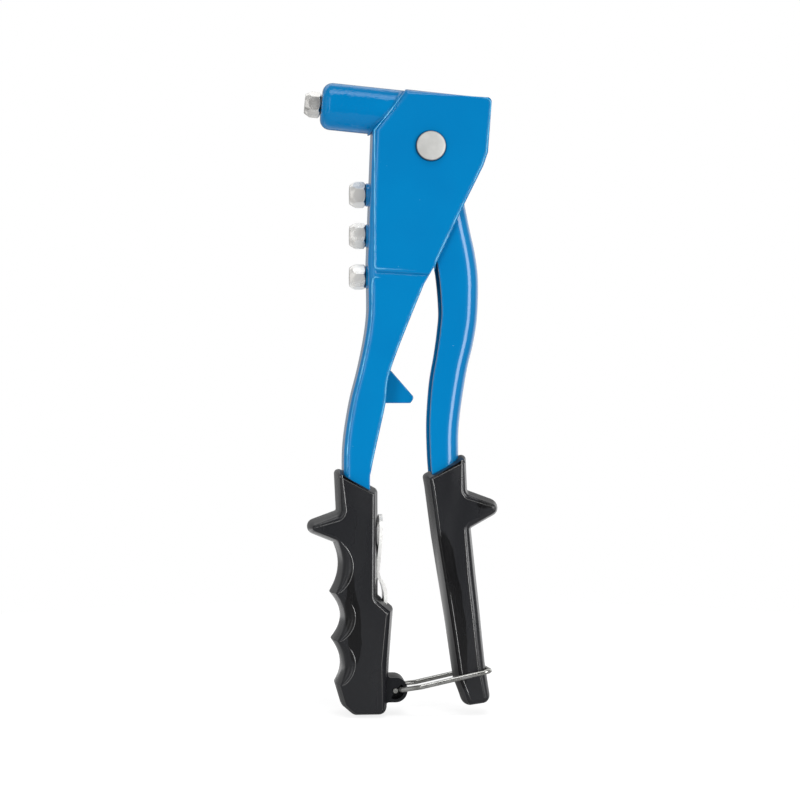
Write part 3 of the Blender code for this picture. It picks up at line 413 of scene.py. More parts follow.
def turned_recipe(tree):
    lines = tree.noise(300.0, 2.0, at=tree.place(scale=(6.0, 0.4, 0.4)))
    tone = tree.noise(150.0, 3.0).between(0.35, 0.65)
    colour = tree.mix(tone, *NICKEL)
    normal = tree.bump(lines, 0.00001, 0.2, on=tree.soft_edges(0.00025))
    return {"Base Color": colour, "Roughness": tone.between(0.0, 1.0, 0.20, 0.30), "Normal": normal}


def zinc_recipe(tree, colours=ZINC):
    mottle = tree.noise(140.0, 4.0, 0.6).between(0.3, 0.7)
    fine = tree.noise(900.0, 2.0)
    return {"Base Color": tree.mix(mottle, *colours),
            "Roughness": mottle.between(0.0, 1.0, 0.22, 0.32), "Normal": tree.bump(fine, 0.00002, 0.4)}


def satin_recipe(tree):
    smear = tree.noise(170.0, 4.0, 0.6).between(0.35, 0.65)
    fine = tree.noise(1400.0, 2.0)
    colour = tree.mix(smear, *SATIN)
    colour = tree.mix(pin_distance(tree).between(0.0056, 0.0061, 0.0, 0.85), colour, PIN_RIM_SHADE)
    return {"Base Color": colour, "Roughness": smear.between(0.0, 1.0, 0.4, 0.5),
            "Normal": tree.bump(fine, 0.00002, 0.3)}


def dark_recipe(tree):
    mottle = tree.noise(160.0, 3.0).between(0.3, 0.7)
    return {"Base Color": tree.mix(mottle, *DARK_STEEL),
            "Roughness": mottle.between(0.0, 1.0, 0.34, 0.46)}


nickel = finish_material("turned_nickel", {"Metallic": 0.72}, turned_recipe)
pale_nickel = finish_material("pale_nickel", {"Metallic": 0.5}, turned_recipe)
zinc = finish_material("bright_zinc", {"Metallic": 0.85}, zinc_recipe)
pale_zinc = finish_material("pale_zinc", {"Metallic": 0.2}, lambda tree: zinc_recipe(tree, PALE_ZINC))
wire_zinc = finish_material("wire_zinc", {"Metallic": 0.9}, lambda tree: zinc_recipe(tree, WIRE_ZINC))
satin = finish_material("satin_zinc", {"Metallic": 0.3}, satin_recipe)
dark_steel = finish_material("dark_steel", {"Metallic": 1.0}, dark_recipe)
print("materials", len(bpy.data.materials))

# %% [markdown]
# Shapes are drawn in millimetres in the side view, as (x, z) points. A path is rounded, smoothed or moved
# sideways, and then extruded across the tool or spun about the barrel's axis.

# %% Paths


def corner_arc(before, corner, after, radius, steps):
    """Points of the arc that rounds a corner between two straight edges, in two or three dimensions."""
    here = Vector(corner)
    to_before = (Vector(before) - here).normalized()
    to_after = (Vector(after) - here).normalized()
    half = to_before.angle(to_after) / 2
    centre = here + (to_before + to_after).normalized() * (radius / sin(half))
    first = here + to_before * (radius / tan(half)) - centre
    last = here + to_after * (radius / tan(half)) - centre
    swing = pi - 2 * half
    angles = [swing * i / steps for i in range(steps + 1)]
    return [centre + first * (sin(swing - a) / sin(swing)) + last * (sin(a) / sin(swing)) for a in angles]


def smooth_path(points, steps=8):
    """A Catmull-Rom curve through the points."""
    ends = [points[0]] + list(points) + [points[-1]]
    curve = []
    for i in range(1, len(ends) - 2):
        a, b, c, d = (Vector(p) for p in ends[i - 1:i + 3])
        for t in (k / steps for k in range(steps)):
            curve.append(tuple(0.5 * (2 * b + (c - a) * t + (2 * a - 5 * b + 4 * c - d) * t ** 2
                                      + (3 * b - a - 3 * c + d) * t ** 3)))
    return curve + [tuple(points[-1])]


def offset_path(points, distance):
    """Move an open path sideways; positive is to the left of its direction of travel."""
    moved = []
    for i, point in enumerate(points):
        here = Vector(point)
        back = (here - Vector(points[i - 1])).normalized() if i else None
        ahead = (Vector(points[i + 1]) - here).normalized() if i + 1 < len(points) else None
        back = back or ahead
        ahead = ahead or back
        normal = Vector((-(back.y + ahead.y), back.x + ahead.x)).normalized()
        moved.append(tuple(here + normal * (distance / max(Vector((-back.y, back.x)).dot(normal), 0.3))))
    return moved


def near_path(point, path, reach):
    """Whether a point lies within reach of an open path."""
    for start, end in zip(path, path[1:]):
        a, span = Vector(start), Vector(end) - Vector(start)
        t = max(0.0, min(1.0, (point - a).dot(span) / span.length_squared))
        if (point - a - span * t).length < reach:
            return True
    return False


print("arc", [round(v, 2) for p in corner_arc((0, 0), (1, 0), (1, 1), 0.5, 2) for v in p])

# %% [markdown]
# A solid is an extruded outline, a spun profile or a row of rings, and solids are cut or joined by booleans.
# The finished piece is scaled to metres and handed to the frame.

# %% Solids from paths
TOUCH = 1e-6
LINE_END = 3.0            # a drawn line thins out over this length


def slab(outline, y_low, y_high):
    """An outline in X and Z, extruded across Y."""
    bm = bmesh.new()
    base = bm.faces.new([bm.verts.new((x, y_low, z)) for x, z in outline])
    made = bmesh.ops.extrude_face_region(bm, geom=[base])
    moved = [v for v in made["geom"] if isinstance(v, bmesh.types.BMVert)]
    bmesh.ops.translate(bm, verts=moved, vec=(0, y_high - y_low, 0))
    bmesh.ops.recalc_face_normals(bm, faces=bm.faces)
    return bm


def side_point(element):
    """The middle of an edge or face, in the side view."""
    middle = element.calc_center_median() if isinstance(element, bmesh.types.BMFace) \
        else (element.verts[0].co + element.verts[1].co) / 2
    return Vector((middle.x, middle.z))


def fold_edges(bm, path, radius, steps=10):
    """Round the edges that run along a path on both side faces."""
    edges = [e for e in bm.edges
             if abs(e.verts[0].co.y - e.verts[1].co.y) < TOUCH and near_path(side_point(e), path, 0.02)]
    bmesh.ops.bevel(bm, geom=edges, offset=radius, offset_type="OFFSET", affect="EDGES",
                    segments=steps, profile=0.5, material=-1, clamp_overlap=False)


def along(start, tilt):
    """Matrix that lays a turned piece's own axis (X) along a line in the mid-plane."""
    return Matrix.Translation((start[0], 0, start[1])) @ Matrix.Rotation(tilt, 4, "Y")


def across(centre):
    """Matrix that lays a turned piece's axis along +Y through a point of the side view."""
    return Matrix.Translation((centre[0], 0, centre[1])) @ Matrix.Rotation(pi / 2, 4, "Z")


def turned(profile, matrix, steps=96, closed=True):
    """Spin a profile of (distance along the axis, radius) a full turn about X."""
    bm = bmesh.new()
    verts = [bm.verts.new((s, 0, r)) for s, r in profile]
    edges = [bm.edges.new(pair) for pair in zip(verts, verts[1:])]
    if closed:
        edges.append(bm.edges.new((verts[-1], verts[0])))
    bmesh.ops.spin(bm, geom=verts + edges, cent=(0, 0, 0), axis=(1, 0, 0), dvec=(0, 0, 0),
                   angle=2 * pi, steps=steps, use_merge=True, use_duplicate=False)
    bmesh.ops.remove_doubles(bm, verts=bm.verts, dist=0.001)
    bmesh.ops.recalc_face_normals(bm, faces=bm.faces)
    bmesh.ops.transform(bm, matrix=matrix, verts=bm.verts)
    return bm


def bridge(bm, loops):
    """Skin a stack of closed loops of points and close both ends."""
    rings = []
    for loop in loops:
        verts = [bm.verts.new(p) for p in loop]
        rings.append([bm.edges.new((verts[i - 1], verts[i])) for i in range(len(verts))])
    for low, high in zip(rings, rings[1:]):
        bmesh.ops.bridge_loops(bm, edges=low + high)
    for cap in (rings[0], rings[-1]):
        bmesh.ops.contextual_create(bm, geom=cap)


def tube(path, y, radius, sides=14):
    """A thin round line through points (x, z) at one depth, thinner at its ends, in the second material."""
    spots = [Vector(p) for p in path]
    bm = bmesh.new()
    ring, last = bmesh.ops.create_circle(bm, segments=sides, radius=1.0)["verts"], Matrix.Identity(4)
    for i, here in enumerate(spots):
        ahead = (spots[min(i + 1, len(spots) - 1)] - spots[max(i - 1, 0)]).normalized()
        from_end = min((here - spots[0]).length, (here - spots[-1]).length)
        r = radius * min(1.0, 0.25 + from_end / LINE_END)
        place = Matrix(((0, ahead.y * r, ahead.x * r, here.x), (r, 0, 0, y),
                        (0, -ahead.x * r, ahead.y * r, here.y), (0, 0, 0, 1)))
        if i:
            edges = [e for e in bm.edges if all(v in ring for v in e.verts)]
            made = bmesh.ops.extrude_edge_only(bm, edges=edges)["geom"]
            ring = [v for v in made if isinstance(v, bmesh.types.BMVert)]
        bmesh.ops.transform(bm, matrix=place @ last.inverted(), verts=ring)
        last = place
    bmesh.ops.holes_fill(bm, edges=bm.edges[:], sides=sides)
    for face in bm.faces:
        face.material_index = 1
    return bm


def rod(start, end, radius):
    """The profile of a plain cylinder."""
    return [(start, 0), (start, radius), (end, radius), (end, 0)]


def as_object(name, bm):
    """A new object of the scene that takes over a mesh."""
    mesh = bpy.data.meshes.new(name)
    bm.to_mesh(mesh)
    bm.free()
    obj = bpy.data.objects.new(name, mesh)
    bpy.context.scene.collection.objects.link(obj)
    return obj


def carve(bm, tool, operation="DIFFERENCE"):
    """One solid cut out of another, joined to it, or what both have in common."""
    for solid in (tool, bm):
        bmesh.ops.recalc_face_normals(solid, faces=solid.faces)
    cutter, work = as_object("tool", tool), as_object("work", bm)
    mod = work.modifiers.new("cut", "BOOLEAN")
    mod.object, mod.operation, mod.solver = cutter, operation, "EXACT"
    result = bmesh.new()
    result.from_object(work, bpy.context.evaluated_depsgraph_get())
    for obj in (work, cutter):
        mesh = obj.data
        bpy.data.objects.remove(obj)
        bpy.data.meshes.remove(mesh)
    bmesh.ops.remove_doubles(result, verts=result.verts, dist=0.005)
    return result


def join(bm, *others):
    """Add meshes that only touch or sink into the first one."""
    for other in others:
        mesh = bpy.data.meshes.new("work")
        other.to_mesh(mesh)
        other.free()
        bm.from_mesh(mesh)
        bpy.data.meshes.remove(mesh)
    return bm


def place_piece(name, bm, mats, body, soften=0.0, sharp=35.0):
    """Turn a millimetre mesh into a finished object that rides on a body of the frame."""
    bmesh.ops.recalc_face_normals(bm, faces=bm.faces)
    bmesh.ops.scale(bm, vec=(MM, MM, MM), verts=bm.verts)
    piece = as_object(name, bm)
    mesh = piece.data
    mesh.shade_smooth()
    for mat in mats:
        mesh.materials.append(mat)
    if soften:
        mod = piece.modifiers.new("soft edges", "BEVEL")
        mod.width = soften * MM
        mod.segments = 3
        mod.limit_method = "ANGLE"
        mod.angle_limit = radians(sharp)
    else:
        mesh.set_sharp_from_angle(angle=radians(sharp))
    flat = piece.modifiers.new("even shading", "WEIGHTED_NORMAL")
    flat.keep_sharp = True
    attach(piece, body)
    print(name, len(mesh.polygons), "faces")
    return piece


print("rod profile", rod(0, 1, 2))

# %% [markdown]
# The body is one plate of 2 mm steel, folded into a channel: the fold at the front is rounded, the rear is
# open. So it starts as a slab in its side outline. The front edges are bevelled into folds, the faces on
# the open side are deleted, and solidify gives the skin its thickness. Bosses for the spare nosepieces are
# turned and sunk into the front wall. Thin lines of thicker paint run along the edges of both side plates,
# in a paler blue that is a painted highlight.

# %% Body
SHEET = 2.0
BODY_HALF = 10.5
BODY_FOLD = 3.0
HEAD_TOP_FRONT = (1.7, 259.0)
HEAD_TOP_REAR = (37.3, 255.6)
FRONT_WALL_TOP = (-11.9, 242.3)
HANDLE_END = 12.0
HANDLE_FRONT = [(-14.0, 187.0), (-13.7, 172.0), (-13.9, 165.0), (-15.1, 155.9), (-17.6, 143.7),
                (-21.0, 130.0), (-23.5, 114.2), (-24.0, 101.1), (-23.4, 85.0), (-22.4, 60.0),
                (-21.8, HANDLE_END)]
HANDLE_REAR = [(-12.4, HANDLE_END), (-12.6, 60.0), (-13.3, 95.0), (-12.7, 101.9), (-10.4, 113.0),
               (-6.9, 129.0), (-4.4, 144.2), (9.0, 178.3)]
PLATE_REAR = [(14.5, 187.8), (26.3, 212.6), (33.7, 227.5), (35.6, 233.0)]
BARREL_START = (-32.9, 253.0)
BARREL_TILT = radians(5.2)
BARREL = along(BARREL_START, BARREL_TILT)
SPARE_BASE_X = -14.6
SPARE_HEIGHTS = [216.0, 198.9, 181.8]
SPARE_HOLE = 4.3
BOSS_PROFILE = [(0.1, SPARE_HOLE), (0.1, 4.5), (0.4, 4.8), (1.9, 4.8), (2.2, 5.0), (2.5, 5.4), (3.2, 5.6),
                (3.2, SPARE_HOLE)]
LINE_RADIUS = 0.3
LINE_SINK = 0.14
front_path = [HEAD_TOP_REAR, HEAD_TOP_FRONT, FRONT_WALL_TOP] + smooth_path(HANDLE_FRONT)
rear_path = smooth_path(HANDLE_REAR)[:-1] + [HANDLE_REAR[-1]] + PLATE_REAR


def folded_channel(front, rest, half, radius, thickness):
    """A folded sheet: the front path is its closed side, and the rest of the outline is open."""
    bm = slab(front + rest, -half, half)
    fold_edges(bm, front, radius)
    open_path = [front[-1]] + rest + [front[0]]
    open_faces = [f for f in bm.faces if abs(f.normal.y) < 0.01 and near_path(side_point(f), open_path, 0.01)
                  and not near_path(side_point(f), front, 0.005)]
    bmesh.ops.delete(bm, geom=open_faces, context="FACES_ONLY")
    bmesh.ops.recalc_face_normals(bm, faces=bm.faces)
    near_side = min(bm.faces, key=lambda f: f.calc_center_median().y)
    if near_side.normal.y > 0:
        bmesh.ops.reverse_faces(bm, faces=bm.faces)
    bmesh.ops.solidify(bm, geom=bm.faces[:], thickness=thickness)
    return bm


def make_body():
    top = corner_arc(rear_path[-1], HEAD_TOP_REAR, HEAD_TOP_FRONT, 2.0, 8)
    front = [top[-1]] + front_path[1:]
    bm = folded_channel(front, rear_path + top[:-1], BODY_HALF, BODY_FOLD, SHEET)
    spots = [along((SPARE_BASE_X, z), 0.0) for z in SPARE_HEIGHTS]
    holes = [turned(rod(10.0, 42.0, 8.2), BARREL, 64, False),
             turned(rod(-12, 12, 3.8), across(PIVOT), 48, False)]
    holes += [turned(rod(-2.0, 9.0, SPARE_HOLE), spot, 48, False) for spot in spots]
    bm = carve(bm, join(*holes))
    crease = [(-10.9, 183.7), (-10.9, 182.8), (13.0, 181.7), (13.0, 182.4)]
    bm = carve(bm, slab(crease, -BODY_HALF - 1, -BODY_HALF + 0.4))
    extras = [turned(BOSS_PROFILE, spot, 48) for spot in spots]
    corner = corner_arc((36.45, 240.0), (36.85, 255.1), (20.0, 256.7), 2.2, 8)
    lines = [[(5.0, 184.0), (-10.2, 184.6), (-11.1, 184.9), (-11.4, 186.0), (-11.4, 241.5), (-6.0, 248.1),
              (0.1, 256.2)],
             [(-9.0, 181.0), (-11.0, 181.1), (-12.1, 180.4), (-12.5, 178.0)]
             + offset_path(smooth_path(HANDLE_FRONT[1:8]), 1.2),
             [(13.2, 183.6), (13.9, 188.1), (25.7, 212.9), (33.0, 227.8), (34.9, 233.2)] + corner
             + [(24.0, 256.3)],
             offset_path(smooth_path(HANDLE_REAR[3:]), 0.55)]
    depth = BODY_HALF - LINE_SINK
    # The raised paint lines take the paler second material: a painted highlight along the edges
    extras += [tube(line, y, LINE_RADIUS) for line in lines for y in (-depth, depth)]
    body = place_piece("body_plate", join(bm, *extras), [blue, blue_highlight_line], "frame", soften=0.8)
    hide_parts("body_shell")


make_body()

# %% [markdown]
# The barrel is turned from bar: a rounded nose, a straight side and a thin lip at its rear. Its rear end is
# cut on the slant of the wall, and a narrower spigot goes on through the wall. One profile is spun about
# the barrel's tilted axis, and the wedge behind the wall is cut away around the spigot. The end sinks into
# the sheet here, because the paint closes the seam, and a bead of paint runs round it.

# %% Barrel
BARREL_RADIUS = 9.7
SPIGOT_RADIUS = 7.9
SPIGOT_END = 37.0
NOSE_BORE = 4.3
BARREL_BORE = 6.9
REAR_BORE = 5.4
BEAD_RADIUS = 0.6
BEAD_TOP = 8.6            # the bead stops at this height above the barrel's axis


def seam_bead():
    """Paint that has run into the seam: a thin ring round the barrel, leaned over to lie on the wall."""
    top, foot = (BARREL.inverted() @ Vector((x, 0, z)) for x, z in (HEAD_TOP_FRONT, FRONT_WALL_TOP))
    lean = (top.x - foot.x) / (top.z - foot.z)
    start = top.x - lean * top.z
    profile = [(start - 0.25 + BEAD_RADIUS * cos(a), BARREL_RADIUS + 0.1 + BEAD_RADIUS * sin(a))
               for a in (2 * pi * i / 12 for i in range(12))]
    ring = turned(profile, Matrix.Identity(4), 128)
    bmesh.ops.bisect_plane(ring, geom=ring.verts[:] + ring.edges[:] + ring.faces[:],
                           plane_co=(0, 0, BEAD_TOP), plane_no=(0, 0, 1), clear_outer=True)
    bmesh.ops.holes_fill(ring, edges=[e for e in ring.edges if e.is_boundary])
    for vert in ring.verts:
        past = max(0.0, abs(vert.co.y) - (BODY_HALF - BODY_FOLD))
        vert.co.x += (BODY_FOLD - sqrt(BODY_FOLD ** 2 - min(past, BODY_FOLD) ** 2)) * sqrt(1 + lean ** 2)
    shear = Matrix.Identity(4)
    shear[0][2] = lean
    bmesh.ops.transform(ring, matrix=BARREL @ shear, verts=ring.verts)
    return ring


def make_barrel():
    r, edge = BARREL_RADIUS, 4.2
    nose = [(edge - edge * cos(a), r - edge + edge * sin(a)) for a in (i * pi / 20 for i in range(11))]
    lip = SPIGOT_END - 1.0
    profile = [(0.25, NOSE_BORE), (0.0, NOSE_BORE + 0.25)] + nose
    profile += [(SPIGOT_END, r), (SPIGOT_END, REAR_BORE), (lip, REAR_BORE), (lip, BARREL_BORE),
                (6.0, BARREL_BORE), (6.0, NOSE_BORE)]
    bm = turned(profile, BARREL, 128)
    wall = offset_path(front_path[:5], SHEET - 0.1)
    top, foot = Vector(wall[1]), Vector(wall[2])
    above = top + (top - foot) / 2
    behind = above.x + SPIGOT_END
    skin = Vector((-1.1, 0.9))   # the cut ends here above the top plate, so that no rim of the barrel shows
    wedge = slab([(behind, above.y), tuple(above + skin), tuple(top - (top - foot) / 4 + skin),
                  tuple(top - (top - foot) / 4), tuple(foot), wall[3], (behind, wall[3][1])], -21, 21)
    wedge = carve(wedge, turned(rod(-5.0, 80.0, SPIGOT_RADIUS), BARREL, 96, False))
    barrel = place_piece("barrel", join(carve(bm, wedge), seam_bead()), [blue_barrel], "frame",
                         sharp=40.0)
    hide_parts("nose_barrel")


make_barrel()

# %% [markdown]
# A nosepiece is turned first, with chamfers at both ends, and then milled to a hexagon. So the turned
# blank is made first and the hexagon is what it has in common with a six-sided prism. The arcs that the
# chamfers leave on each flat come by themselves. The spares are turned as far as each was screwed in.

# %% Nosepieces
HEX_FLATS = 9.5
HEX_LENGTH = 6.6
SHANK_RADIUS = 4.0
SHANK_LENGTH = 4.5
SEAT_GAP = 0.3


def make_nosepiece(name, matrix, bore, metal):
    corner = HEX_FLATS / sqrt(3)
    face = HEX_FLATS / 2 - 0.75
    thread = []
    for i in range(4):
        s = 0.7 + i * 0.9
        thread += [(s, SHANK_RADIUS), (s + 0.3, SHANK_RADIUS), (s + 0.5, SHANK_RADIUS - 0.4)]
    profile = [(-HEX_LENGTH + 0.25, bore), (-HEX_LENGTH, bore + 0.3), (-HEX_LENGTH, face - 0.15),
               (-HEX_LENGTH + 0.15, face), (-HEX_LENGTH + 2.7, corner + 0.1), (-0.9, corner + 0.1),
               (0, corner - 1.05), (0, SHANK_RADIUS - 0.3)] + thread \
        + [(SHANK_LENGTH - 0.4, SHANK_RADIUS - 0.3), (SHANK_LENGTH, SHANK_RADIUS - 0.6), (SHANK_LENGTH, bore)]
    bm = carve(turned(profile, matrix, 96), turned(rod(-9.0, 7.0, corner), matrix, 6, False), "INTERSECT")
    # The shoulder, threads and rear chamfer of the hexagon take the dark steel: painted shade in the gap
    # before the boss
    for face in bm.faces:
        if (matrix.inverted() @ face.calc_center_median()).x > -0.7:
            face.material_index = 1
    piece = place_piece(name + "_milled", bm, [metal, dark_steel], "frame", soften=0.15,
                        sharp=20.0)
    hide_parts(name)


make_nosepiece("nosepiece_fitted", BARREL @ Matrix.Translation((-SEAT_GAP, 0, 0)), 1.6, nickel)
for number, (hole, twist, z) in enumerate(zip((1.2, 2.0, 2.4), (8.0, -4.0, 20.5), SPARE_HEIGHTS)):
    spot = along((SPARE_BASE_X, z), 0.0) @ Matrix.Rotation(radians(twist), 4, "X")
    make_nosepiece("spare_nosepiece_%d" % (number + 1), spot, hole, pale_nickel)

# %% [markdown]
# The pivot pin has a wide, flat head with a soft edge on the near side, and a groove on the far side for
# its clip. It is one profile spun about the line across the tool.

# %% Pivot pin
PIN_FACE = -12.1
HEAD_RADIUS = 6.1
HEAD_CROWN = 0.28
HEAD_EDGE = 0.35
PIN_RADIUS = 3.5
GROOVE_RADIUS = 2.7


def make_pin():
    flat, rim = HEAD_RADIUS - HEAD_EDGE, PIN_FACE + HEAD_CROWN
    crown = [(rim - HEAD_CROWN * sqrt(1 - t * t), flat * t) for t in (0, 0.35, 0.6, 0.8, 0.92, 1)]
    edge = [(rim + HEAD_EDGE - HEAD_EDGE * cos(a), flat + HEAD_EDGE * sin(a))
            for a in (pi / 2 * i / 5 for i in range(1, 6))]
    shank = [(-10.8, HEAD_RADIUS), (-10.8, PIN_RADIUS), (10.65, PIN_RADIUS), (10.65, GROOVE_RADIUS),
             (11.9, GROOVE_RADIUS), (11.9, PIN_RADIUS), (12.5, PIN_RADIUS), (12.9, PIN_RADIUS - 0.4),
             (12.9, 0)]
    bm = turned(crown + edge + shank, across(PIVOT), 96, False)
    pin = place_piece("pin", bm, [satin], "frame")
    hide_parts("pivot_pin")


make_pin()

# %% [markdown]
# The lever is folded like the body, but its closed side faces the other way and its fold is wider. It
# narrows at the top into two cheeks that pass between the body's plates and end in the fork's tips.

# %% Lever
LEVER_HALF = 8.2
LEVER_FOOT = 15.0
LEVER_FOLD = 6.0
LEVER_WEB = [(26.7, 212.4), (28.9, 201.6), (31.0, 192.1), (32.3, 182.6), (32.4, 173.0), (31.8, 163.0),
             (30.2, 153.5), (27.8, 143.5), (25.4, 128.9), (24.2, 117.3), (24.2, 106.0), (24.6, 95.0),
             (28.2, 60.0), (32.6, 22.0), (33.4, 15.0)]
LEVER_OPEN = [(26.2, 15.0), (24.8, 22.0), (18.8, 60.0), (13.6, 92.0), (12.5, 101.0), (11.9, 111.2),
              (11.8, 123.0), (12.9, 137.8), (14.9, 149.6), (16.3, 160.0), (16.8, 169.0), (15.1, 186.0),
              (11.0, 200.0), (7.2, 216.0)]
FORK_TIP_RADIUS = 2.8
FORK_AT = 49.10
lever_web = smooth_path(LEVER_WEB, 6)
lever_open = smooth_path(LEVER_OPEN, 6)


def fork_outline():
    """The cheeks' top end: two straight necks and a round tip between the sleeve's collars."""
    tip = BARREL @ Vector((FORK_AT, 0, 0))
    tip = Vector((tip.x, tip.z))
    arm = (tip - Vector(PIVOT)).normalized()
    side = Vector((-arm.y, arm.x))
    r = FORK_TIP_RADIUS
    cap = [tuple(tip + side * (r * cos(a)) + arm * (r * sin(a))) for a in (pi * i / 12 for i in range(13))]
    neck = [tuple(Vector(PIVOT) + side * (s * 2.1) + arm * 6.5) for s in (1, -1)]
    return [(5.2, 228.0), neck[0]] + cap + [neck[1], (19.5, 236.0), (21.5, 225.0)]


def lever_hollow():
    """The room between the web and the cheeks, open towards the body and above the web's top."""
    inner = offset_path(lever_web, -SHEET)
    inner[-1] = (inner[-1][0], LEVER_FOOT - 20)
    open_edge = offset_path(smooth_path(LEVER_OPEN[:-2], 6), 10)
    open_edge[0] = (open_edge[0][0], LEVER_FOOT - 20)
    head = [(-20, 186), (-20, 256), (52, 256), (52, inner[0][1])]
    bm = slab(inner + open_edge + head, -LEVER_HALF + SHEET, LEVER_HALF - SHEET)
    fold_edges(bm, inner[1:-1], LEVER_FOLD - SHEET)
    return bm


def make_lever():
    bm = slab(lever_web + lever_open + fork_outline(), -LEVER_HALF, LEVER_HALF)
    fold_edges(bm, lever_web, LEVER_FOLD)
    bm = carve(bm, lever_hollow())
    bm = carve(bm, turned(rod(-20.0, 20.0, 3.65), across(PIVOT), 48, False))
    lever = place_piece("lever_folded", bm, [blue], "lever", soften=0.6)
    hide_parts("lever")


make_lever()

# %% [markdown]
# Each grip is a moulded sleeve: a flat panel on each side, and edges that roll over into slightly round
# walls. So the outline of the side view is drawn once, each point with the width of its rolled edge, and
# rings of it are stacked from the near panel over the edge and the wall to the far panel. Where the edge
# is wide, in the finger scallops, it scoops far into the panel; at the points between them it is narrow.

# %% Grip helpers
PANEL_SHIFT = 0.45        # the whole outline is this much smaller than drawn
PANEL_LINE = 0.23


def edge_line(corners, steps=8):
    """Outline points (x, z, edge) from corners (x, z, radius, edge); a radius of 0 keeps the corner."""
    points = []
    for i, (x, z, radius, edge) in enumerate(corners):
        if radius and 0 < i < len(corners) - 1:
            arc = corner_arc(corners[i - 1][:2], (x, z), corners[i + 1][:2], radius, steps)
            points += [(ax, az, edge) for ax, az in arc]
        else:
            points.append((x, z, edge))
    return points


def scallops(tips, edge, wide, steps=14):
    """Shallow arcs between tips (x, z, bulge): the rolled edge widens towards the middle of each."""
    points = []
    for (x0, z0, bulge), (x1, z1, _) in zip(tips, tips[1:]):
        for t in (k / steps for k in range(steps)):
            swell = 4 * t * (1 - t)
            x, z = x0 + (x1 - x0) * t + bulge * swell, z0 + (z1 - z0) * t
            points.append((x, z, edge + (wide - edge) * swell))
    return points


def inward(outline):
    """The inward direction at each point of a closed outline that runs up its left side."""
    normals = []
    for i, here in enumerate(outline):
        before = Vector(here[:2]) - Vector(outline[i - 1][:2])
        after = Vector(outline[(i + 1) % len(outline)][:2]) - Vector(here[:2])
        first, second = (Vector((d.y, -d.x)).normalized() for d in (before, after))
        middle = (first + second).normalized()
        normals.append(middle / max(middle.dot(first), 0.5))
    return normals


def panel_lines(outline, half, shift=PANEL_SHIFT):
    """Thin raised lines round both panels, where a panel meets an edge that doesn't face downwards."""
    runs = [[]]
    for (x, z, r), normal in zip(outline, inward(outline)):
        point = Vector((x + normal.x * (r + shift), z + normal.y * (r + shift)))
        if normal.normalized().y > 0.38:
            runs.append([])
        elif not runs[-1] or (point - runs[-1][-1]).length > 0.12:
            runs[-1].append(point)
    return [tube(run, y, PANEL_LINE) for run in runs if len(run) > 3 for y in (-half, half)]


def pillow(outline, half, wall_slope=radians(18.0), shift=PANEL_SHIFT, steps=8):
    """Rings from the near panel over a rolled edge and a round wall to the far panel, skinned."""
    normals = inward(outline)
    sweep = pi / 2 - wall_slope
    profile = [("edge", sweep * k / steps) for k in range(steps + 1)]
    profile += [("wall", t) for t in (0.75, 0.5, 0.25, 0.0)]
    loops = []
    for kind, value in profile:
        loop = []
        for (x, z, r), normal in zip(outline, normals):
            depth, inset = half - r * (1 - cos(value)), r * (1 - sin(value))
            if kind == "wall":
                wall = half - r * (1 - cos(sweep))
                depth = wall * value
                inset = r * (1 - sin(sweep)) - wall * (1 - value ** 2) * tan(wall_slope) / 2
            inset += shift
            loop.append((x + normal.x * inset, -depth, z + normal.y * inset))
        loops.append(loop)
    loops += [[(x, -y, z) for x, y, z in loop] for loop in reversed(loops[:-1])]
    bm = bmesh.new()
    bridge(bm, loops)
    bmesh.ops.recalc_face_normals(bm, faces=bm.faces)
    return bm


print("panel shift", PANEL_SHIFT, "mm")

# %% [markdown]
# The fixed grip has four finger scallops in front, a guard on top and the latch's lug at its foot. The room
# for the folded handle, the wrench's pocket and the latch's holes are cut out of it.

# %% Fixed grip
FIXED_HALF = 12.0
PANEL_SINK = 0.02
FIT = 0.1                 # between a grip and its sheet
POCKET = [(-8.05, 23.7), (-5.95, 23.7), (-5.95, 60.5), (-8.05, 60.5)]
POCKET_HALF = 5.8
FIXED_SCALLOPS = [(-26.1, 13.6, 2.3), (-27.4, 31.7, 3.3), (-28.0, 51.2, 2.1), (-26.8, 72.0, 0.0)]
FIXED_ABOVE = [(-26.8, 72.0, 0, 1.2), (-26.9, 72.6, 0.8, 1.2), (-40.8, 78.2, 1.9, 1.3),
               (-25.7, 84.0, 2.0, 2.2), (-26.3, 101.0, 0.6, 1.0), (-10.9, 92.6, 0.8, 0.8),
               (-10.7, 49.0, 2.0, 1.3), (-4.3, 43.9, 0.8, 1.8), (-5.9, 22.3, 0, 2.2), (-7.2, 1.4, 2.2, 0.7),
               (-19.2, 1.4, 2.0, 0.7), (-23.6, 5.0, 3.0, 1.2), (-26.1, 13.6, 0, 0.8)]
LATCH_PIVOT = (-2.5, 10.5)
LATCH_ANGLE = radians(12.3)
LATCH_SWING = radians(100.0)
LATCH_END = 2.3           # from the pivot to the near end of the wire
LATCH_HOLE = 1.3
LUG_CENTRE = (-2.6, 10.8)
LUG_RADIUS = 5.1
LUG_HALF = 7.5
INNER_WALL = -8.5


def body_room(grow):
    """The folded handle as a solid, grown on every side."""
    front = offset_path(front_path, -grow)
    rear = offset_path(rear_path, -grow)
    front[-1] = (front[-1][0], HANDLE_END - grow)
    rear[0] = (rear[0][0], HANDLE_END - grow)
    bm = slab(front + rear, -BODY_HALF - grow, BODY_HALF + grow)
    fold_edges(bm, front, BODY_FOLD + grow)
    return bm


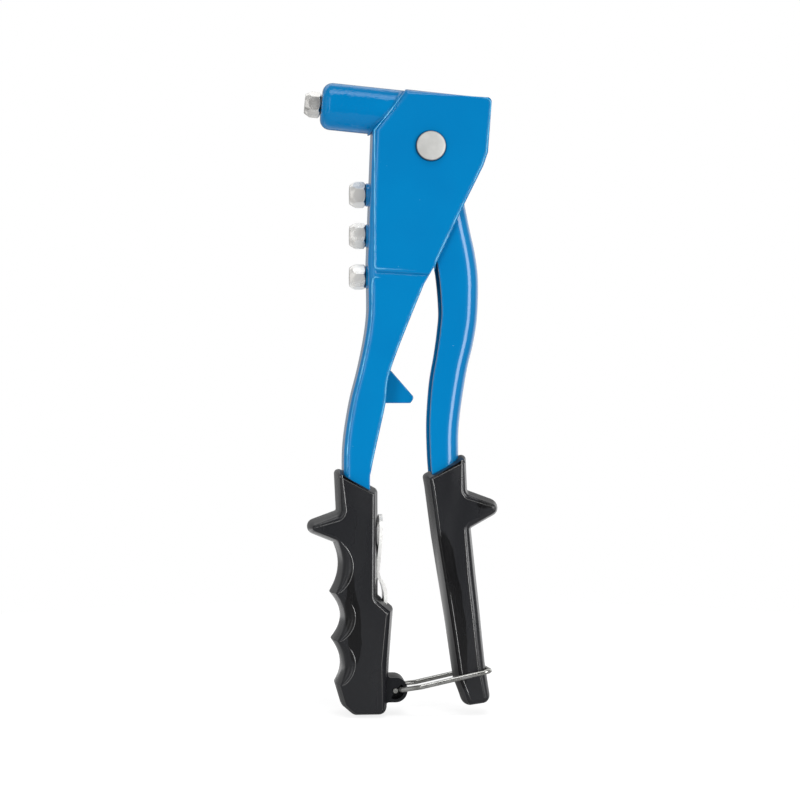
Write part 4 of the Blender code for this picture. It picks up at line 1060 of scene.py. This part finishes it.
def lug_solid():
    """The lug that the latch hangs on: a round end that widens into the grip."""
    (x, z), r = LUG_CENTRE, LUG_RADIUS
    corners = [(x - 9, z - 8.4, 0, 0), (x - r + 0.3, z - 8.4, 0, 0), (x - r + 1.5, z - r, 1.5, 0),
               (x + r, z - r, r - 0.2, 0), (x + r, z + r, r - 0.2, 0), (x - r + 2.4, z + r, 1.2, 0),
               (x - r + 1.8, z + 7.4, 0, 0), (x - 9, z + 7.4, 0, 0)]
    return slab([point[:2] for point in edge_line(corners, 10)], -LUG_HALF, LUG_HALF)


def latch_slot():
    """The curved blind slot on the near side that the wire's near end swings in."""
    x, z = LATCH_PIVOT
    inner, outer = LATCH_END - LATCH_HOLE, LATCH_END + LATCH_HOLE
    play = asin(LATCH_HOLE / LATCH_END)
    start, end = LATCH_ANGLE + play, LATCH_ANGLE - LATCH_SWING - play
    angles = [start + (end - start) * i / 24 for i in range(25)]
    arc = [(x + outer * cos(a), z + outer * sin(a)) for a in angles]
    arc += [(x + inner * cos(a), z + inner * sin(a)) for a in reversed(angles)]
    return slab(arc, -LUG_HALF - 1, -LUG_HALF + 4.0)


def make_fixed_grip():
    outline = scallops(FIXED_SCALLOPS, 0.8, 4.6) + edge_line(FIXED_ABOVE)[:-1]
    bm = carve(pillow(outline, FIXED_HALF), lug_solid(), "UNION")
    holes = [body_room(FIT), slab(POCKET, -POCKET_HALF, POCKET_HALF),
             turned(rod(-20.0, 20.0, LATCH_HOLE), across(LATCH_PIVOT), 32, False), latch_slot()]
    for hole in holes:
        bm = carve(bm, hole)
    for face in bm.faces:
        if face.calc_center_median().x > INNER_WALL:
            face.material_index = 2
    bm = join(bm, *panel_lines(outline, FIXED_HALF - PANEL_SINK))
    grip = place_piece("fixed_grip_sleeve", bm, [vinyl, vinyl_rubbed, vinyl_inner], "frame",
                       soften=0.35, sharp=30.0)
    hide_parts("fixed_grip")


make_fixed_grip()

# %% [markdown]
# The lever grip is the same kind of sleeve over the folded lever, with one long guard on its outer side.

# %% Lever grip
GRIP_HALF = 11.0
LEVER_GRIP = [(14.1, 74.3, 0, 1.5), (11.4, 94.7, 0, 1.4), (10.75, 98.7, 0.8, 1.0), (26.2, 106.9, 0.6, 1.2),
              (27.0, 92.3, 2.0, 2.0), (43.1, 86.2, 2.7, 1.4), (28.5, 77.6, 1.2, 2.4), (30.7, 57.6, 0, 3.0),
              (32.5, 41.4, 0, 3.0), (34.5, 21.0, 0, 2.8), (36.7, 5.4, 2.6, 1.9),
              (27.2, 4.2, 2.4, 1.6), (25.6, 9.0, 2.0, 1.4), (23.4, 14.6, 0, 1.4), (20.0, 37.9, 0, 1.4),
              (17.9, 51.0, 0, 1.5), (14.1, 74.3, 0, 1.5)]


def make_lever_grip():
    outline = edge_line(LEVER_GRIP)[:-1]
    web, open_edge = offset_path(lever_web, FIT), offset_path(lever_open, FIT)
    web[-1] = (web[-1][0], LEVER_FOOT - FIT)
    open_edge[0] = (open_edge[0][0], LEVER_FOOT - FIT)
    room = slab(web + open_edge, -LEVER_HALF - FIT, LEVER_HALF + FIT)
    fold_edges(room, web, LEVER_FOLD + FIT)
    bm = join(carve(pillow(outline, GRIP_HALF), room), *panel_lines(outline, GRIP_HALF - PANEL_SINK))
    piece = place_piece("lever_grip_sleeve", bm, [vinyl, vinyl_rubbed], "lever", soften=0.35,
                        sharp=30.0)
    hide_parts("lever_grip")


make_lever_grip()

# %% [markdown]
# The wrench is a bent strip of steel with a round head and a hexagon hole, pushed into a pocket of the
# fixed grip. It is the same bent strip as in the source, cut to its plan, with its edges rubbed round.

# %% Wrench
WRENCH_BENDS = [(-8.3, 83.0), (-8.7, 72.2), (-9.3, 63.8), (-9.7, 59.0), (-8.9, 56.7), (-7.75, 55.0),
                (-6.6, 51.3), (-6.45, 47.5), (-6.7, 44.6), (-7.0, 41.0)]
WRENCH_FOOT = (-7.0, 24.0)
STRIP_HALF = 0.75
WRENCH_HEAD = 8.5
WRENCH_SHANK = 5.5
WRENCH_CENTRE = 74.5
WRENCH_FLATS = 9.9


def make_wrench():
    path = smooth_path(WRENCH_BENDS, 6) + [WRENCH_FOOT]
    half, shank = WRENCH_HEAD, WRENCH_SHANK
    bm = slab(offset_path(path, -STRIP_HALF) + offset_path(path, STRIP_HALF)[::-1], -half, half)
    head = [(half * sin(a), WRENCH_CENTRE + half * cos(a)) for a in (radians(t) for t in range(-120, 121, 5))]
    outline = head + [(shank, 63.0), (shank, 14.0), (-shank, 14.0), (-shank, 63.0)]
    plan = slab(outline, -30, 30)
    bmesh.ops.rotate(plan, verts=plan.verts, cent=(0, 0, 0), matrix=Matrix.Rotation(pi / 2, 3, "Z"))
    bm = carve(bm, plan, "INTERSECT")
    hexagon = rod(-30.0, 30.0, WRENCH_FLATS / sqrt(3))
    hexagon = turned(hexagon, Matrix.Translation((0, 0, WRENCH_CENTRE)), 6, False)
    piece = place_piece("wrench_strip", carve(bm, hexagon), [pale_zinc], "wrench", soften=0.25)
    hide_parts("nose_wrench")


make_wrench()

# %% [markdown]
# The latch is a bent wire. Its corners are arcs between straight runs, so the points are worked out in
# that way, and a round section is carried along them. Its far leg hangs a little lower than the near one.

# %% Latch wire
WIRE_RADIUS = 1.0
FLARE_AT = 10.5           # from the pivot to where the legs spread
LEG_AT_LUG = 8.8
LEG_WIDE = 12.75
FAR_DROP = 1.9


def wire_points(corners, steps=10):
    """Points of a bent wire: straight runs with an arc at each corner that has a radius."""
    plain = [c[0] if isinstance(c, tuple) else c for c in corners]
    points = []
    for i, corner in enumerate(corners):
        if isinstance(corner, tuple):
            points += corner_arc(plain[i - 1], corner[0], plain[i + 1], corner[1], steps)
        else:
            points.append(corner)
    return points


def make_wire(name, points, radius, mat, body, node):
    curve = bpy.data.curves.new(name, "CURVE")
    curve.dimensions = "3D"
    curve.bevel_depth = radius * MM
    curve.bevel_resolution = 6
    curve.use_fill_caps = True
    curve.materials.append(mat)
    line = curve.splines.new("POLY")
    line.points.add(len(points) - 1)
    for point, spot in zip(line.points, points):
        point.co = (*(spot * MM), 1.0)
    piece = bpy.data.objects.new(name, curve)
    bpy.context.scene.collection.objects.link(piece)
    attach(piece, body)
    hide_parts(node)


def make_latch():
    high = Vector(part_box("latch_wire")[1])
    pivot = Vector((LATCH_PIVOT[0], 0, LATCH_PIVOT[1]))
    run = Vector((cos(LATCH_ANGLE), 0, sin(LATCH_ANGLE)))
    reach = (high.x / MM - WIRE_RADIUS - pivot.x) / cos(LATCH_ANGLE)
    flare, bar, near_end = pivot + run * FLARE_AT, pivot + run * reach, pivot + run * LATCH_END
    lug_side, wide, lower = Vector((0, LEG_AT_LUG, 0)), Vector((0, LEG_WIDE, 0)), Vector((0, 0, -FAR_DROP))
    near = [near_end + Vector((0, -4.4, 0)), (near_end - lug_side, 1.2), (flare - wide, 3.0),
            (bar - wide, 3.0)]
    far = [(bar + wide + lower, 3.0), (flare + wide + lower, 3.0), (pivot + lug_side, 1.6),
           pivot + Vector((0, -7.8, 0))]
    points = wire_points(near + far)
    make_wire("latch_bent", points, WIRE_RADIUS, wire_zinc, "latch", "latch_wire")
    print("latch wire", len(points), "points")


make_latch()

# %% [markdown]
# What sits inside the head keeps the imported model's own shapes: strip, spacer, clip, jaws, case, pusher,
# sleeve, seat and springs. Each of them only gets its finish.

# %% Finishes of the inner pieces
FINISHES = {
    "spare_holder_strip": zinc, "pivot_spacer": zinc, "pivot_clip": dark_steel, "jaw_case": dark_steel,
    "jaw_upper": dark_steel, "jaw_lower": dark_steel, "jaw_pusher": nickel, "pull_sleeve": nickel,
    "spring_seat": nickel, "return_spring": zinc, "jaw_spring": zinc, "stop_tab": blue,
}
for name, mat in FINISHES.items():
    for slot in nodes[name].material_slots:
        slot.material = mat
print("finished", len(FINISHES))
